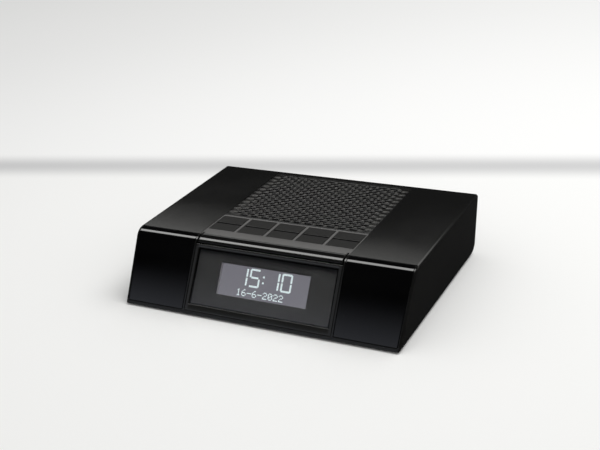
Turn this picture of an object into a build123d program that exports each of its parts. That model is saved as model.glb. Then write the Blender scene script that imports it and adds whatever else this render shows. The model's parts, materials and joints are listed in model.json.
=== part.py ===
from build123d import *

import os
from math import cos, radians, sin, tan

# Tabletop radio, in millimetres. Origin: on the surface it stands on, under the middle of the housing.
# +Z is up, the display faces -Y, +X is to the right of someone who reads the display.

# Overall sizes
width = 180.0
depth = 136.0
height = 40.0
foot_height = 1.0  # how far the feet lift the housing
slant_angle = 31.8  # the front leans back from the vertical, in degrees
side_draft = 1.8  # each side wall leans in by this from top to bottom
rear_draft = 1.8
roll_radius = 8.2  # the front panels roll over the front top edge
heel_radius = 7.5  # rear bottom edge
edge_radius = 1.5  # edges around the side walls
rear_edge_radius = 2.4  # rear top edge
inner_radius = 1.0  # smallest round inside the shell
overlap = 0.1  # how far joined solids reach into one another
past = 1.0  # how far a cut reaches past what it cuts
reach = 80.0  # longer than any piece is high

# Walls, seams and plates
wall = 2.2
carrier_wall = 1.9  # wall behind the front panels
panel_thickness = 1.9
glue_gap = 0.1  # between the front panels and their carrier
seam = 0.25  # gap around a fitted panel
side_border = 1.6  # satin edge of the side walls, outside the front panels
base_thickness = 1.6
rim_height = 2.4
rim_wall = 1.4
rim_clearance = 0.2

# Centre of the front and top
divider = 0.9  # rib between the centre and each front panel
inlay_overhang = 0.6  # the inlays are wider than the centre of the front, on each side
inlay_thickness = 1.9
inlay_start = 0.9  # distances behind the top end of the roll
frame_end = 29.5
grille_end = 103.2
inlay_gap = 0.15
ledge_depth = 2.0
ledge_margin = 2.0

# Keys
key_columns = 5
key_width = 17.1
key_rib = 1.7  # of the frame, between two columns
key_border = 0.7  # of the frame, outside the outer columns
key_row_start = 8.2
key_row_end = 28.2
key_side_gap = 0.25
key_row_gap = 1.3
key_flange = 0.6
key_flange_thickness = 1.2
key_flange_clearance = 0.05
key_edge_radius = 0.35
key_skirt = 3.0
key_wall = 1.2
key_drop = 0.1  # key tops lie this far below the frame
key_travel = 0.5
stem_radius = 1.6

# Snooze bar
snooze_side_gap = 1.0
snooze_rear_gap = 0.5
snooze_front_gap = 0.8
snooze_thickness = 1.7
snooze_switch_spacing = 46.0
snooze_arm_width = 6.0
snooze_arm_thickness = 1.6
snooze_arm_front = 2.4  # ahead of the top end of the roll
snooze_arm_gap = 0.3  # below the key frame
snooze_web_depth = 2.0
snooze_room = 1.2  # the gap around the bar ends this far below the bezel's top
snooze_switch_offset = 3.6  # behind the top end of the roll
snooze_notch = 2.1
snooze_notch_width = 1.2

# Key board and its switches
switch_size = 6.2
switch_height = 3.4
plunger_radius = 1.7
plunger_rise = 0.8
plunger_clearance = 0.1
plunger_depth = 2.0
plunger_end_gap = 0.2
key_stack = 7.0  # from the top of the housing down to the plungers
board_thickness = 1.6
key_board_overhang = 5.9  # wider than the key frame, on each side
key_board_front = -0.3  # behind the top end of the roll
key_board_end = 28.5
key_board_screw_inset = 2.5
key_board_screw_offsets = (4.0, 25.0)
key_board_boss_radius = 2.6
key_board_pilot_depth = 5.5
key_board_hole_radius = 1.3

# Display, with distances measured down the slope from the end of the roll and in from the front face
bezel_top = -0.6
bezel_side_gap = 0.3
bezel_border = 2.2  # beside the lens
lens_top = 1.7
lens_length = 33.3
lens_fit = 0.2
lens_recess = 0.7
mask_thickness = 0.1
window_half_width = 28.75
window_top = 8.3
window_length = 18.3
window_depth = 2.0
lcd_thickness = 1.6
lcd_border = 2.3
lcd_gap = 0.1
backlight_thickness = 2.4
holder_gap = 0.05
holder_wall = 7.0
holder_margin = 1.6
holder_ear_overhang = 2.05  # beyond the opening it lies behind
holder_ear_inset = 5.0
holder_ear_thickness = 1.6
display_board_thickness = 1.2
display_board_margin = 3.0
display_screw_inset = 1.0
display_screw_offset = 2.6
display_screw_radius = 0.9
display_screw_reach = 3.5
display_screw_head_radius = 1.8
display_screw_head_height = 1.4
display_hole_radius = 1.0
carrier_ledge = 1.0  # behind each side of the lens
carrier_opening_top = 3.0
carrier_opening_length = 30.5

# Speaker, with radii about its axis
speaker_size = 66.0
speaker_corner_radius = 6.0
speaker_screw_spacing = 58.0
speaker_plate = 1.0
speaker_plate_depth = 5.0  # top of the speaker's plate below the top of the housing
speaker_boss_radius = 2.8
speaker_hole_radius = 1.6
cone_opening_radius = 28.5
basket_depth = 15.0
basket_foot_radius = 19.5
basket_hole_radius = 8.6
basket_wall = 1.2
basket_seam = 0.5  # height of the joint between the basket and its plate
vent_margin = 2.0
surround_inset = 2.5
surround_outside = 2.4
surround_inside = 1.9
surround_flange = 2.6
surround_flange_thickness = 0.5
cone_edge = (24.0, 24.4, 7.8, 8.2)  # outer rim above and below, then inner rim above and below
cone_rim_drop = 0.6
cone_base = (3.2, 3.8)  # heights above the basket's floor
dust_cap_radius = 10.4
dust_cap_wall = 0.5
dust_cap_low = 4.6  # above the basket's floor
dust_cap_sink = 6.0  # centre of its sphere below its edge
coil_radius = 7.2
coil_thickness = 0.6
coil_top = 3.8  # above the basket's floor
coil_low = 3.0  # above the magnet's underside
spider_low = 2.2  # above the basket's floor
spider_thickness = 0.4
spider_inset = 0.6
magnet_radius = 18.0
magnet_height = 5.5
magnet_gap = 3.0
top_plate_thickness = 2.5
top_plate_gap = 1.0
top_plate_inset = 1.0
yoke_thickness = 2.0
yoke_inset = 0.5
pole_gap = 0.4
pole_drop = 1.0
gasket_radii = (29.0, 31.5)
cloth_thickness = 0.3
cloth_gap = 0.3
cloth_hole_radius = 3.0
slot_length = 5.2
slot_width = 1.25
slot_pitch = 7.33
row_pitch = 2.73
grille_border = 1.6

# Main board, sockets and fasteners
main_board_half_width = 70.0
main_board_depth = 42.0
main_board_setback = 6.0  # from the rear top edge
post_height = 2.9
post_radius = 3.0
main_screw_x = 64.0
main_screw_front = 4.0  # from the main board's front and rear edges
main_screw_rear = 9.0
main_board_hole_radius = 1.5
post_pilot = 0.4  # depth of each post's hole below the base's inside
jack_height = 5.5  # axis of the sockets above the main board
jack_recess = 0.5  # faces of the sockets inside the rear wall's outside
jack_shoulder = 0.6
jack_joint = 1.0  # how far a socket's nose reaches into its case
rear_hole_depth = 8.4
dc_jack_x = -50.0
dc_hole_radius = 4.5
dc_nose_radius = 4.3
dc_case_half_width = 4.5
dc_case_depth = 13.5
dc_case_rise = 5.0  # above the socket's axis
dc_bore_radius = 3.15
dc_pin_radius = 1.0
dc_bore_depth = 9.5
headphone_x = -32.0
headphone_hole_radius = 3.4
headphone_nose_radius = 3.2
headphone_case_half_width = 4.0
headphone_case_depth = 13.5
headphone_case_rise = 3.5
headphone_bore_radius = 1.8
headphone_depth = 14.0
aerial_x = 52.0
aerial_hole_radius = 3.0
aerial_wire_radius = 1.1
aerial_flange = 1.4
aerial_sleeve = 1.5  # lengths inside the rear wall
aerial_flange_front = 1.7
aerial_flange_rear = 0.3
shield_xs = (35.0, 60.0)
shield_setbacks = (32.0, 10.0)  # from the main board's rear edge
shield_height = 3.2
chip_boxes = (((-58.0, -46.0), (30.0, 18.0), 1.4), ((24.0, 31.0), (40.0, 34.0), 1.2))  # xs, setbacks, height
capacitor_xs = (-56.0, -46.0)
capacitor_setback = 36.0
capacitor_radius = 4.0
capacitor_height = 10.0
cover_screw_x = 77.0
cover_screw_front = 36.0  # from the front bottom edge
cover_screw_rear = 18.0  # from the rear top edge
cover_boss_radius = 4.0
base_boss_radius = 5.0
base_boss_height = 6.4
counterbore_radius = 3.6
cover_hole_radius = 1.7
cover_shank = 1.35
cover_head_radius = 3.2
cover_head_height = 2.4
cover_reach = 12.5
cover_seat_depth = 5.5
small_shank = 1.1
small_head_radius = 2.2
small_head_height = 1.5
small_reach = 4.0
foot_radius = 6.5
foot_recess = 0.8
foot_x = 70.0
foot_front = 13.0
foot_rear = 24.0
ribbon_thickness = 0.3
ribbon_land = 6.0  # length on the main board
display_ribbon_width = 14.0
display_ribbon_turn = 6.5  # behind the display board
display_ribbon_radii = (2.0, 8.0, 4.0)
key_ribbon_x = 44.0
key_ribbon_width = 10.0
key_ribbon_run = 5.0  # length under the key board
key_ribbon_radii = (2.0, 4.0, 4.0)
lead_radius = 0.6
lead_spacing = 3.0
lead_xs = (-31.0, -40.0)
lead_drops = (8.0, 18.0)
lead_bend_radius = 4.0

slant = radians(slant_angle)
housing_height = height - foot_height
base_top = foot_height + base_thickness
front_edge = -depth / 2
rear_edge = depth / 2
front_wall = panel_thickness + glue_gap + carrier_wall
panel_pocket = panel_thickness + glue_gap
roll_start = front_edge + housing_height * tan(slant) + roll_radius * tan((radians(90) - slant) / 2)
roll_end = Vector(0, roll_start - roll_radius * cos(slant), height - roll_radius + roll_radius * sin(slant))
front_plane = Plane(origin=roll_end, x_dir=(1, 0, 0), z_dir=(0, -cos(slant), sin(slant)))
key_opening_width = key_width + 2 * key_side_gap
key_pitch = key_opening_width + key_rib
inlay_half_width = (key_columns * key_opening_width + (key_columns - 1) * key_rib) / 2 + key_border
centre_half_width = inlay_half_width - inlay_overhang
snooze_half_width = centre_half_width - snooze_side_gap
bezel_half_width = centre_half_width - bezel_side_gap
lens_half_width = bezel_half_width - bezel_border
carrier_opening_half_width = lens_half_width - carrier_ledge
key_board_half_width = inlay_half_width + key_board_overhang
key_board_screw_x = key_board_half_width - key_board_screw_inset
key_columns_x = [(column - (key_columns - 1) / 2) * key_pitch for column in range(key_columns)]
key_board_top = height - key_stack - plunger_rise - switch_height
main_board_top = base_top + post_height + board_thickness
main_board_rear = rear_edge - main_board_setback
speaker_y = roll_start + (frame_end + grille_end) / 2
jack_z = main_board_top + jack_height
cover_seat = foot_height + cover_seat_depth
lcd_front = panel_pocket + window_depth
lcd_back = lcd_front + lcd_thickness
backlight_back = lcd_back + backlight_thickness
display_board_back = backlight_back + display_board_thickness
display_screw_downs = (window_top + display_screw_inset, window_top + window_length - display_screw_inset)
display_screw_x = window_half_width + lcd_border + display_screw_offset
holder_downs = (
    window_top - lcd_border - holder_margin,
    window_top + window_length + lcd_border + holder_margin,
)
plate_top = height - speaker_plate_depth
plate_low = plate_top - speaker_plate
basket_low = plate_top - basket_depth
top_plate_low = basket_low - speaker_plate - top_plate_thickness
magnet_low = top_plate_low - magnet_height
yoke_low = magnet_low - yoke_thickness
surround_middle = cone_opening_radius - surround_inset
cloth_low = height - inlay_thickness - cloth_thickness


def block(xs, ys, zs):
    """Box between two values along each axis."""
    sizes = [high - low for low, high in (xs, ys, zs)]
    centre = [(high + low) / 2 for low, high in (xs, ys, zs)]
    return Pos(*centre) * Box(*sizes)


def slope_block(xs, downs, ins):
    """Box on the slanted front: along X, down the slope from the end of the roll, and into the housing."""
    return front_plane.location * block(xs, (-downs[1], -downs[0]), (-ins[1], -ins[0]))


def slope_point(down, inward):
    """Point on the middle of the slanted front, as (y, z)."""
    point = front_plane.from_local_coords(Vector(0, -down, -inward))
    return point.Y, point.Z


def rod(radius, x, y, z_low, z_high):
    return Pos(x, y, (z_low + z_high) / 2) * Cylinder(radius, z_high - z_low)


def rod_along_y(radius, x, z, y_low, y_high):
    return Pos(x, (y_low + y_high) / 2, z) * Rot(90, 0, 0) * Cylinder(radius, y_high - y_low)


def turned(*corners):
    """Ring or disc turned about the speaker's axis from an outline of (radius, z) corners."""
    outline = make_face(Polyline(*corners, close=True))
    return Pos(0, speaker_y, 0) * revolve(Plane.XZ * outline, axis=Axis.Z)


def front_y(z, inward=0.0):
    return front_edge + (z - foot_height) * tan(slant) + inward / cos(slant)


def rear_y(z, inward=0.0):
    return rear_edge - rear_draft * (height - rear_edge_radius - z) / housing_height - inward


def half_width(z, inward=0.0):
    return width / 2 - side_draft * (height - z) / housing_height - inward


def envelope(top=0.0, bottom=0.0, front=0.0, rear=0.0, side=0.0):
    """The housing's outer shape with each face moved in by its own distance, before its sides are rounded."""
    low = foot_height + bottom
    high = height - top
    corners = [
        (front_y(low, front), low),
        (rear_y(low, rear), low),
        (rear_y(high, rear), high),
        (front_y(high, front), high),
    ]
    roll = roll_radius - min(max(top, front), roll_radius - inner_radius)
    heel = heel_radius - min(max(bottom, rear), heel_radius - inner_radius)
    radii = [0, heel, rear_edge_radius, roll]
    outline = make_face(FilletPolyline(*corners, radius=radii, close=True))
    margin = 2 * height
    section = make_face(Polyline(
        (-half_width(-margin, side), -margin),
        (half_width(-margin, side), -margin),
        (half_width(margin, side), margin),
        (-half_width(margin, side), margin),
        close=True,
    ))
    return extrude(Plane.YZ * outline, width, both=True) & extrude(Plane.XZ * section, 2 * depth, both=True)


def skin(thickness, side):
    """Plate that follows the top, the roll and the slanted front, inside the side walls' edges."""
    return envelope(side=side) - envelope(thickness, -height, thickness, -depth, -width)


def rounded_housing():
    body = envelope()
    side_edges = body.faces().filter_by(lambda face: abs(face.normal_at().X) > 0.9).edges()
    return fillet(side_edges, edge_radius)


def mouth(clearance):
    """Column of space that opens the bottom of the cover, ahead of its curved heel."""
    side = wall + clearance
    column = envelope(-height, -height, front_wall + clearance, heel_radius + side, side)
    return column & block((-width, width), (-depth, depth), (0, height / 2))


def panel_space(x_sign, clearance):
    """Room of a front panel, larger than the panel by a clearance."""
    inner = centre_half_width + divider + seam - clearance
    xs = (inner, width) if x_sign > 0 else (-width, -inner)
    room = block(xs, (-depth, roll_start - seam + clearance), (base_top + seam - clearance, 2 * height))
    return skin(panel_thickness + glue_gap * (clearance > 0), side_border + seam - clearance) & room


def grille_slots():
    """Rows of round-ended slots, each row half a pitch aside from the last."""
    low = frame_end + inlay_gap + grille_border
    rows = int((grille_end - grille_border - low) / row_pitch)
    span = inlay_half_width - grille_border - slot_length / 2
    places = []
    for row in range(rows):
        y = roll_start + (frame_end + inlay_gap + grille_end) / 2 + (row - (rows - 1) / 2) * row_pitch
        shift = slot_pitch / 2 * (row % 2)
        count = int((span + shift) / slot_pitch)
        columns = [column * slot_pitch - shift for column in range(-count, count + 1)]
        places += [(x, y) for x in columns if abs(x) <= span]
    return [Pos(x, y, 0) * SlotOverall(slot_length, slot_width) for x, y in places]


def screw(x, y, seat, reach, head_radius, head_height, shank_radius, heading):
    """Screw whose head lies against seat; heading is +1 when it is driven upwards."""
    head = rod(head_radius, x, y, *sorted((seat, seat - heading * head_height)))
    return head + rod(shank_radius, x, y, *sorted((seat, seat + heading * reach)))


def strip(points, radii, thickness, x_middle, strip_width):
    """Flat ribbon that runs along a path of (y, z) points."""
    path = FilletPolyline(*[(y, z) for y, z in points], radius=radii)
    face = Plane.YZ * make_face(path.offset_2d(thickness / 2, kind=Kind.INTERSECTION))
    return Pos(x_middle, 0, 0) * extrude(face, strip_width / 2, both=True)


cover_screw_places = [
    (side * cover_screw_x, y)
    for side in (-1, 1)
    for y in (front_edge + cover_screw_front, rear_edge - cover_screw_rear)
]
display_screw_places = [(side * display_screw_x, down) for side in (-1, 1) for down in display_screw_downs]
main_screw_places = [
    (side * main_screw_x, y)
    for side in (-1, 1)
    for y in (main_board_rear - main_board_depth + main_screw_front, main_board_rear - main_screw_rear)
]
key_board_screw_places = [
    (side * key_board_screw_x, roll_start + offset) for side in (-1, 1) for offset in key_board_screw_offsets
]
speaker_screw_places = [
    (side * speaker_screw_spacing / 2, speaker_y + end * speaker_screw_spacing / 2)
    for side in (-1, 1)
    for end in (-1, 1)
]
foot_places = [
    (side * foot_x, y) for side in (-1, 1) for y in (front_edge + foot_front, rear_edge - foot_rear)
]
snooze_switch_places = [
    (side * snooze_switch_spacing / 2, roll_start + snooze_switch_offset) for side in (-1, 1)
]


def top_cover():
    slab = block((-width, width), (-depth, depth), (0, base_top))
    body = rounded_housing() - slab
    body -= envelope(wall, wall, front_wall, wall, wall)
    body -= mouth(0)

    # Frame under the inlays, then the pocket they lie in and the openings below it
    ledge_low = height - inlay_thickness - ledge_depth
    body += block(
        (-inlay_half_width - ledge_margin, inlay_half_width + ledge_margin),
        (roll_start + inlay_start, roll_start + grille_end + ledge_margin),
        (ledge_low, height - wall),
    )
    pocket_edge = inlay_half_width + inlay_gap
    pocket_zs = (height - inlay_thickness, 2 * height)
    pocket_end = roll_start + grille_end + inlay_gap
    body -= block((-pocket_edge, pocket_edge), (roll_start + inlay_start, pocket_end), pocket_zs)
    through = (ledge_low - past, reach)
    ledge_edge = inlay_half_width - ledge_margin
    body -= block(
        (-ledge_edge, ledge_edge),
        (roll_start + frame_end + ledge_margin, roll_start + grille_end - ledge_margin),
        through,
    )
    body -= block(
        (-inlay_half_width, inlay_half_width),
        (
            roll_start + key_row_start - key_flange,
            roll_start + key_row_end - key_side_gap + key_flange + key_flange_clearance,
        ),
        through,
    )
    front_hole = ledge_edge - ledge_margin
    body -= block((-front_hole, front_hole), (roll_start, roll_start + key_row_start), through)

    # Front: pockets of the two panels and the bezel, the display opening and the snooze bar's gap
    for x_sign in (-1, 1):
        body -= panel_space(x_sign, seam)
    centre = block(
        (-centre_half_width, centre_half_width), (-depth, roll_start + inlay_start), (base_top, 2 * height)
    )
    body -= skin(panel_pocket, 0) & centre
    body -= slope_block(
        (-carrier_opening_half_width, carrier_opening_half_width),
        (carrier_opening_top, carrier_opening_top + carrier_opening_length),
        (0, front_wall + past),
    )
    snooze_gap = slope_block(
        (-centre_half_width, centre_half_width), (-reach, bezel_top + snooze_room), (-reach, 2 * roll_radius)
    )
    body -= snooze_gap & centre

    # Bosses for the base's screws and for the key board
    for x, y in cover_screw_places:
        body += rod(cover_boss_radius, x, y, base_top + base_boss_height, height - wall + overlap)
        body -= rod(cover_shank, x, y, 0, height / 2)
    for x, y in key_board_screw_places:
        body += rod(key_board_boss_radius, x, y, key_board_top, height - wall + overlap)
        body -= rod(small_shank, x, y, key_board_top, key_board_top + key_board_pilot_depth)

    # Holes in the rear wall
    jack_holes = ((dc_jack_x, dc_hole_radius), (headphone_x, headphone_hole_radius))
    for x, radius in (*jack_holes, (aerial_x, aerial_hole_radius)):
        body -= rod_along_y(radius, x, jack_z, rear_edge - rear_hole_depth, rear_edge + past)
    return body


def base_cover():
    slab = block((-width, width), (-depth, depth), (0, base_top))
    body = rounded_housing() & slab
    rim = mouth(rim_clearance) - mouth(rim_clearance + rim_wall)
    body += rim & block((-width, width), (-depth, depth), (base_top, base_top + rim_height))
    for x, y in cover_screw_places:
        body += rod(base_boss_radius, x, y, base_top, base_top + base_boss_height)
        body -= rod(counterbore_radius, x, y, 0, cover_seat)
        body -= rod(cover_hole_radius, x, y, 0, height / 2)
    for x, y in main_screw_places:
        body += rod(post_radius, x, y, base_top, base_top + post_height)
        body -= rod(small_shank, x, y, base_top - post_pilot, height / 2)
    for x, y in foot_places:
        body -= rod(foot_radius, x, y, 0, foot_height + foot_recess)
    return body


def key_frame():
    plate = block(
        (-inlay_half_width, inlay_half_width),
        (roll_start + inlay_start, roll_start + frame_end),
        (height - inlay_thickness, height),
    )
    half = key_opening_width / 2
    for x in key_columns_x:
        plate -= block(
            (x - half, x + half), (roll_start + key_row_start, roll_start + key_row_end), (0, 2 * height)
        )
    notch = (centre_half_width - snooze_notch_width, centre_half_width)
    for xs in (notch, (-notch[1], -notch[0])):
        plate -= block(xs, (roll_start, roll_start + inlay_start + snooze_notch), (0, 2 * height))
    return plate


def key(column, row):
    """Hollow key with a flange under the frame and a stem down to its plunger; row 0 is the front row."""
    x = key_columns_x[column]
    middle = (key_row_start + key_row_end) / 2
    if row == 0:
        near, far = key_row_start + key_side_gap, middle - key_row_gap / 2
        flange = (near - key_flange, far)
    else:
        near, far = middle + key_row_gap / 2, key_row_end - key_side_gap
        flange = (near, far + key_flange)
    half = key_width / 2
    top = height - key_drop
    low = height - key_drop - key_skirt
    cap = block((x - half, x + half), (roll_start + near, roll_start + far), (low, top))
    cap = fillet(cap.edges().group_by(Axis.Z)[-1], key_edge_radius)
    cap += block(
        (x - half - key_flange, x + half + key_flange),
        (roll_start + flange[0], roll_start + flange[1]),
        (low, low + key_flange_thickness),
    )
    cap -= block(
        (x - half + key_wall, x + half - key_wall),
        (roll_start + near + key_wall, roll_start + far - key_wall),
        (0, top - key_wall),
    )
    y = roll_start + (near + far) / 2
    return cap + rod(stem_radius, x, y, height - key_stack, top - key_wall)


def key_middle(row):
    middle = (key_row_start + key_row_end) / 2
    if row == 0:
        return roll_start + (key_row_start + key_side_gap + middle - key_row_gap / 2) / 2
    return roll_start + (key_row_end - key_side_gap + middle + key_row_gap / 2) / 2


def plunger(x, y):
    top = height - key_stack
    return rod(plunger_radius, x, y, top - plunger_rise - plunger_depth, top)


def switch_case(x, y):
    half = switch_size / 2
    case = block((x - half, x + half), (y - half, y + half), (key_board_top, key_board_top + switch_height))
    well = key_board_top + switch_height - plunger_depth - key_travel - plunger_end_gap
    return case - rod(plunger_radius + plunger_clearance, x, y, well, height)


key_switch_places = [(x, key_middle(row)) for row in (0, 1) for x in key_columns_x]


def snooze_bar():
    rear = roll_start + inlay_start - snooze_rear_gap
    room = block((-snooze_half_width, snooze_half_width), (-depth, rear), (0, 2 * height))
    bar = skin(snooze_thickness, 0) & room
    bar &= slope_block((-width, width), (-reach, bezel_top - snooze_front_gap), (-reach, reach))
    top = height - inlay_thickness - snooze_arm_gap
    front = roll_start - snooze_arm_front
    for x, y in snooze_switch_places:
        xs = (x - snooze_arm_width / 2, x + snooze_arm_width / 2)
        bar += block(xs, (front, y + stem_radius), (top - snooze_arm_thickness, top))
        web = block(xs, (front, roll_start), (top - overlap, height - snooze_thickness + 2 * overlap))
        bar += web & skin(snooze_thickness + snooze_web_depth, 0)
        bar += rod(stem_radius, x, y, height - key_stack, top - overlap)
    return bar


def key_board():
    ys = (roll_start + key_board_front, roll_start + key_board_end)
    zs = (key_board_top - board_thickness, key_board_top)
    board = block((-key_board_half_width, key_board_half_width), ys, zs)
    for x, y in key_board_screw_places:
        board -= rod(key_board_hole_radius, x, y, 0, height)
    return board


def display_bezel():
    room = block((-bezel_half_width, bezel_half_width), (-depth, depth), (base_top + seam, 2 * height))
    plate = skin(panel_thickness, 0) & room
    plate &= slope_block((-width, width), (bezel_top, reach), (-reach, reach))
    return plate - slope_block(
        (-lens_half_width - lens_fit, lens_half_width + lens_fit),
        (lens_top - lens_fit, lens_top + lens_length + lens_fit),
        (-past, front_wall),
    )


def on_slope(half, top, length, ins, border=0.0):
    """Plate on the slanted front, grown by a border on all four sides."""
    return slope_block((-half - border, half + border), (top - border, top + length + border), ins)


def lcd_stack(front, back, border):
    return on_slope(window_half_width, window_top, window_length, (front, back), border)


def slope_rod(radius, x, down, ins):
    place = front_plane.location * Pos(x, -down, -(ins[0] + ins[1]) / 2)
    return place * Cylinder(radius, ins[1] - ins[0])


def lcd_holder():
    """Frame behind the window, with a pocket for the display and an ear on each side."""
    side = window_half_width + lcd_border + holder_wall
    body = slope_block((-side, side), holder_downs, (panel_pocket + holder_gap, backlight_back))
    ear_downs = (window_top + holder_ear_inset, window_top + window_length - holder_ear_inset)
    ear = carrier_opening_half_width + holder_ear_overhang
    body += slope_block((-ear, ear), ear_downs, (front_wall, front_wall + holder_ear_thickness))
    body -= lcd_stack(0, lcd_front + past, 0)
    body -= lcd_stack(lcd_front, backlight_back + past, lcd_border)
    screw_ins = (backlight_back - display_screw_reach, backlight_back)
    for x, down in display_screw_places:
        body -= slope_rod(display_screw_radius, x, down, screw_ins)
    return body


def display_board():
    half = display_screw_x + display_board_margin
    board = slope_block((-half, half), holder_downs, (backlight_back, display_board_back))
    for x, down in display_screw_places:
        board -= slope_rod(display_hole_radius, x, down, (0, 2 * display_board_back))
    return board


def display_screws():
    screws = []
    for x, down in display_screw_places:
        ins = (display_board_back, display_board_back + display_screw_head_height)
        shank = slope_rod(display_screw_radius, x, down, (backlight_back - display_screw_reach, ins[0]))
        screws.append(slope_rod(display_screw_head_radius, x, down, ins) + shank)
    return screws


def speaker_grille():
    plate = block(
        (-inlay_half_width, inlay_half_width),
        (roll_start + frame_end + inlay_gap, roll_start + grille_end),
        (height - inlay_thickness, height),
    )
    slots = Sketch() + grille_slots()
    plate -= Pos(0, 0, height - 2 * inlay_thickness) * extrude(slots, 3 * inlay_thickness)
    for x, y in speaker_screw_places:
        boss = rod(speaker_boss_radius, x, y, plate_top, height - inlay_thickness + overlap)
        plate += boss - rod(small_shank, x, y, 0, height - inlay_thickness)
    return plate


def grille_cloth():
    edge = inlay_half_width - ledge_margin - cloth_gap
    ends = (
        roll_start + frame_end + ledge_margin + cloth_gap,
        roll_start + grille_end - ledge_margin - cloth_gap,
    )
    cloth = block((-edge, edge), ends, (cloth_low, height - inlay_thickness))
    for x, y in speaker_screw_places:
        cloth -= rod(cloth_hole_radius, x, y, 0, reach)
    return cloth


def speaker_gasket():
    inner, outer = gasket_radii
    low = plate_top + surround_flange_thickness
    return turned((inner, low), (outer, low), (outer, cloth_low), (inner, cloth_low))


def speaker_basket():
    half = speaker_size / 2
    flat = extrude(RectangleRounded(speaker_size, speaker_size, speaker_corner_radius), speaker_plate)
    plate = Pos(0, speaker_y, plate_low) * flat
    plate -= rod(cone_opening_radius, 0, speaker_y, 0, height)
    for x, y in speaker_screw_places:
        plate -= rod(speaker_hole_radius, x, y, 0, height)
    bowl = turned(
        (cone_opening_radius, plate_low + basket_seam),
        (cone_opening_radius + basket_wall, plate_low + basket_seam),
        (basket_foot_radius, basket_low),
        (basket_foot_radius, basket_low - speaker_plate),
        (basket_hole_radius, basket_low - speaker_plate),
        (basket_hole_radius, basket_low),
        (basket_foot_radius - basket_wall, basket_low),
    )
    vent = block((half / 3, half), (-half / 5, half / 5), (basket_low + vent_margin, plate_low - vent_margin))
    for turn in range(4):
        bowl -= Pos(0, speaker_y, 0) * Rot(0, 0, 45 + 90 * turn) * vent
    return plate + bowl


def speaker_surround():
    """Half-round roll and the flat flange glued to the basket's plate."""
    roll = Pos(surround_middle, plate_top) * (Circle(surround_outside) - Circle(surround_inside))
    roll &= Pos(surround_middle, plate_top + surround_inset) * Rectangle(reach, 2 * surround_inset)
    flange = Rectangle(surround_flange, surround_flange_thickness)
    flange_x = surround_middle + surround_inside + surround_flange / 2
    profile = roll + Pos(flange_x, plate_top + surround_flange_thickness / 2) * flange
    return Pos(0, speaker_y, 0) * revolve(Plane.XZ * profile, axis=Axis.Z)


def speaker_cone():
    outer_high, outer_low, inner_low, inner_high = cone_edge
    return turned(
        (outer_high, plate_top),
        (outer_low, plate_top - cone_rim_drop),
        (inner_high, basket_low + cone_base[0]),
        (inner_low, basket_low + cone_base[1]),
    )


def dust_cap():
    low = basket_low + dust_cap_low
    centre = Pos(0, speaker_y, low - dust_cap_sink)
    shell = centre * (Sphere(dust_cap_radius) - Sphere(dust_cap_radius - dust_cap_wall))
    return shell & block((-reach, reach), (-reach, reach), (low, height))


def voice_coil():
    inner, outer = coil_radius, coil_radius + coil_thickness
    low, high = magnet_low + coil_low, basket_low + coil_top
    return turned((inner, low), (outer, low), (outer, high), (inner, high))


def spider():
    inner, outer = coil_radius + coil_thickness, basket_foot_radius - spider_inset
    low = basket_low + spider_low
    high = low + spider_thickness
    return turned((inner, low), (outer, low), (outer, high), (inner, high))


def speaker_magnet():
    inner = coil_radius + magnet_gap
    outer = magnet_radius
    return turned((inner, magnet_low), (outer, magnet_low), (outer, top_plate_low), (inner, top_plate_low))


def speaker_pole_pieces():
    """Yoke with its pole, and the top plate."""
    pole = coil_radius - pole_gap
    pole_top = basket_low - pole_drop
    edge = magnet_radius - yoke_inset
    outline = [(0, yoke_low), (edge, yoke_low), (edge, magnet_low), (pole, magnet_low), (pole, pole_top)]
    yoke = turned(*outline, (0, pole_top))
    inner, outer = coil_radius + top_plate_gap, magnet_radius - top_plate_inset
    high = top_plate_low + top_plate_thickness
    return [yoke, turned((inner, top_plate_low), (outer, top_plate_low), (outer, high), (inner, high))]


def main_board():
    edges = (-main_board_half_width, main_board_half_width)
    ys = (main_board_rear - main_board_depth, main_board_rear)
    board = block(edges, ys, (main_board_top - board_thickness, main_board_top))
    for x, y in main_screw_places:
        board -= rod(main_board_hole_radius, x, y, 0, height)
    return board


def dc_jack():
    """Power socket: a case on the main board, a nose through the rear wall, and the bore with its pin."""
    inside = rear_y(jack_z, wall)
    face = rear_y(jack_z) - jack_recess
    half = dc_case_half_width
    ys = (face - dc_case_depth, inside - jack_shoulder)
    body = block((dc_jack_x - half, dc_jack_x + half), ys, (main_board_top, jack_z + dc_case_rise))
    body += rod_along_y(dc_nose_radius, dc_jack_x, jack_z, inside - jack_joint, face)
    body -= rod_along_y(dc_bore_radius, dc_jack_x, jack_z, face - dc_bore_depth, face + past)
    pin_end = face - dc_bore_depth - jack_recess
    return body + rod_along_y(dc_pin_radius, dc_jack_x, jack_z, pin_end, face - past)


def headphone_jack():
    inside = rear_y(jack_z, wall)
    face = rear_y(jack_z) - jack_recess
    half = headphone_case_half_width
    ys = (inside - headphone_case_depth, inside - jack_shoulder)
    body = block((headphone_x - half, headphone_x + half), ys, (main_board_top, jack_z + headphone_case_rise))
    body += rod_along_y(headphone_nose_radius, headphone_x, jack_z, inside - jack_joint, face)
    return body - rod_along_y(headphone_bore_radius, headphone_x, jack_z, face - headphone_depth, face + past)


def aerial_grommet():
    """Sleeve through the rear wall with a flange against its inside."""
    inside = rear_y(jack_z, wall)
    outside = rear_y(jack_z)
    flange_ys = (inside - aerial_flange_front, inside - aerial_flange_rear)
    ring = rod_along_y(aerial_hole_radius, aerial_x, jack_z, inside - aerial_sleeve, outside)
    ring += rod_along_y(aerial_hole_radius + aerial_flange, aerial_x, jack_z, *flange_ys)
    return ring - rod_along_y(aerial_wire_radius, aerial_x, jack_z, rear_edge / 2, rear_edge + past)


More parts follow.
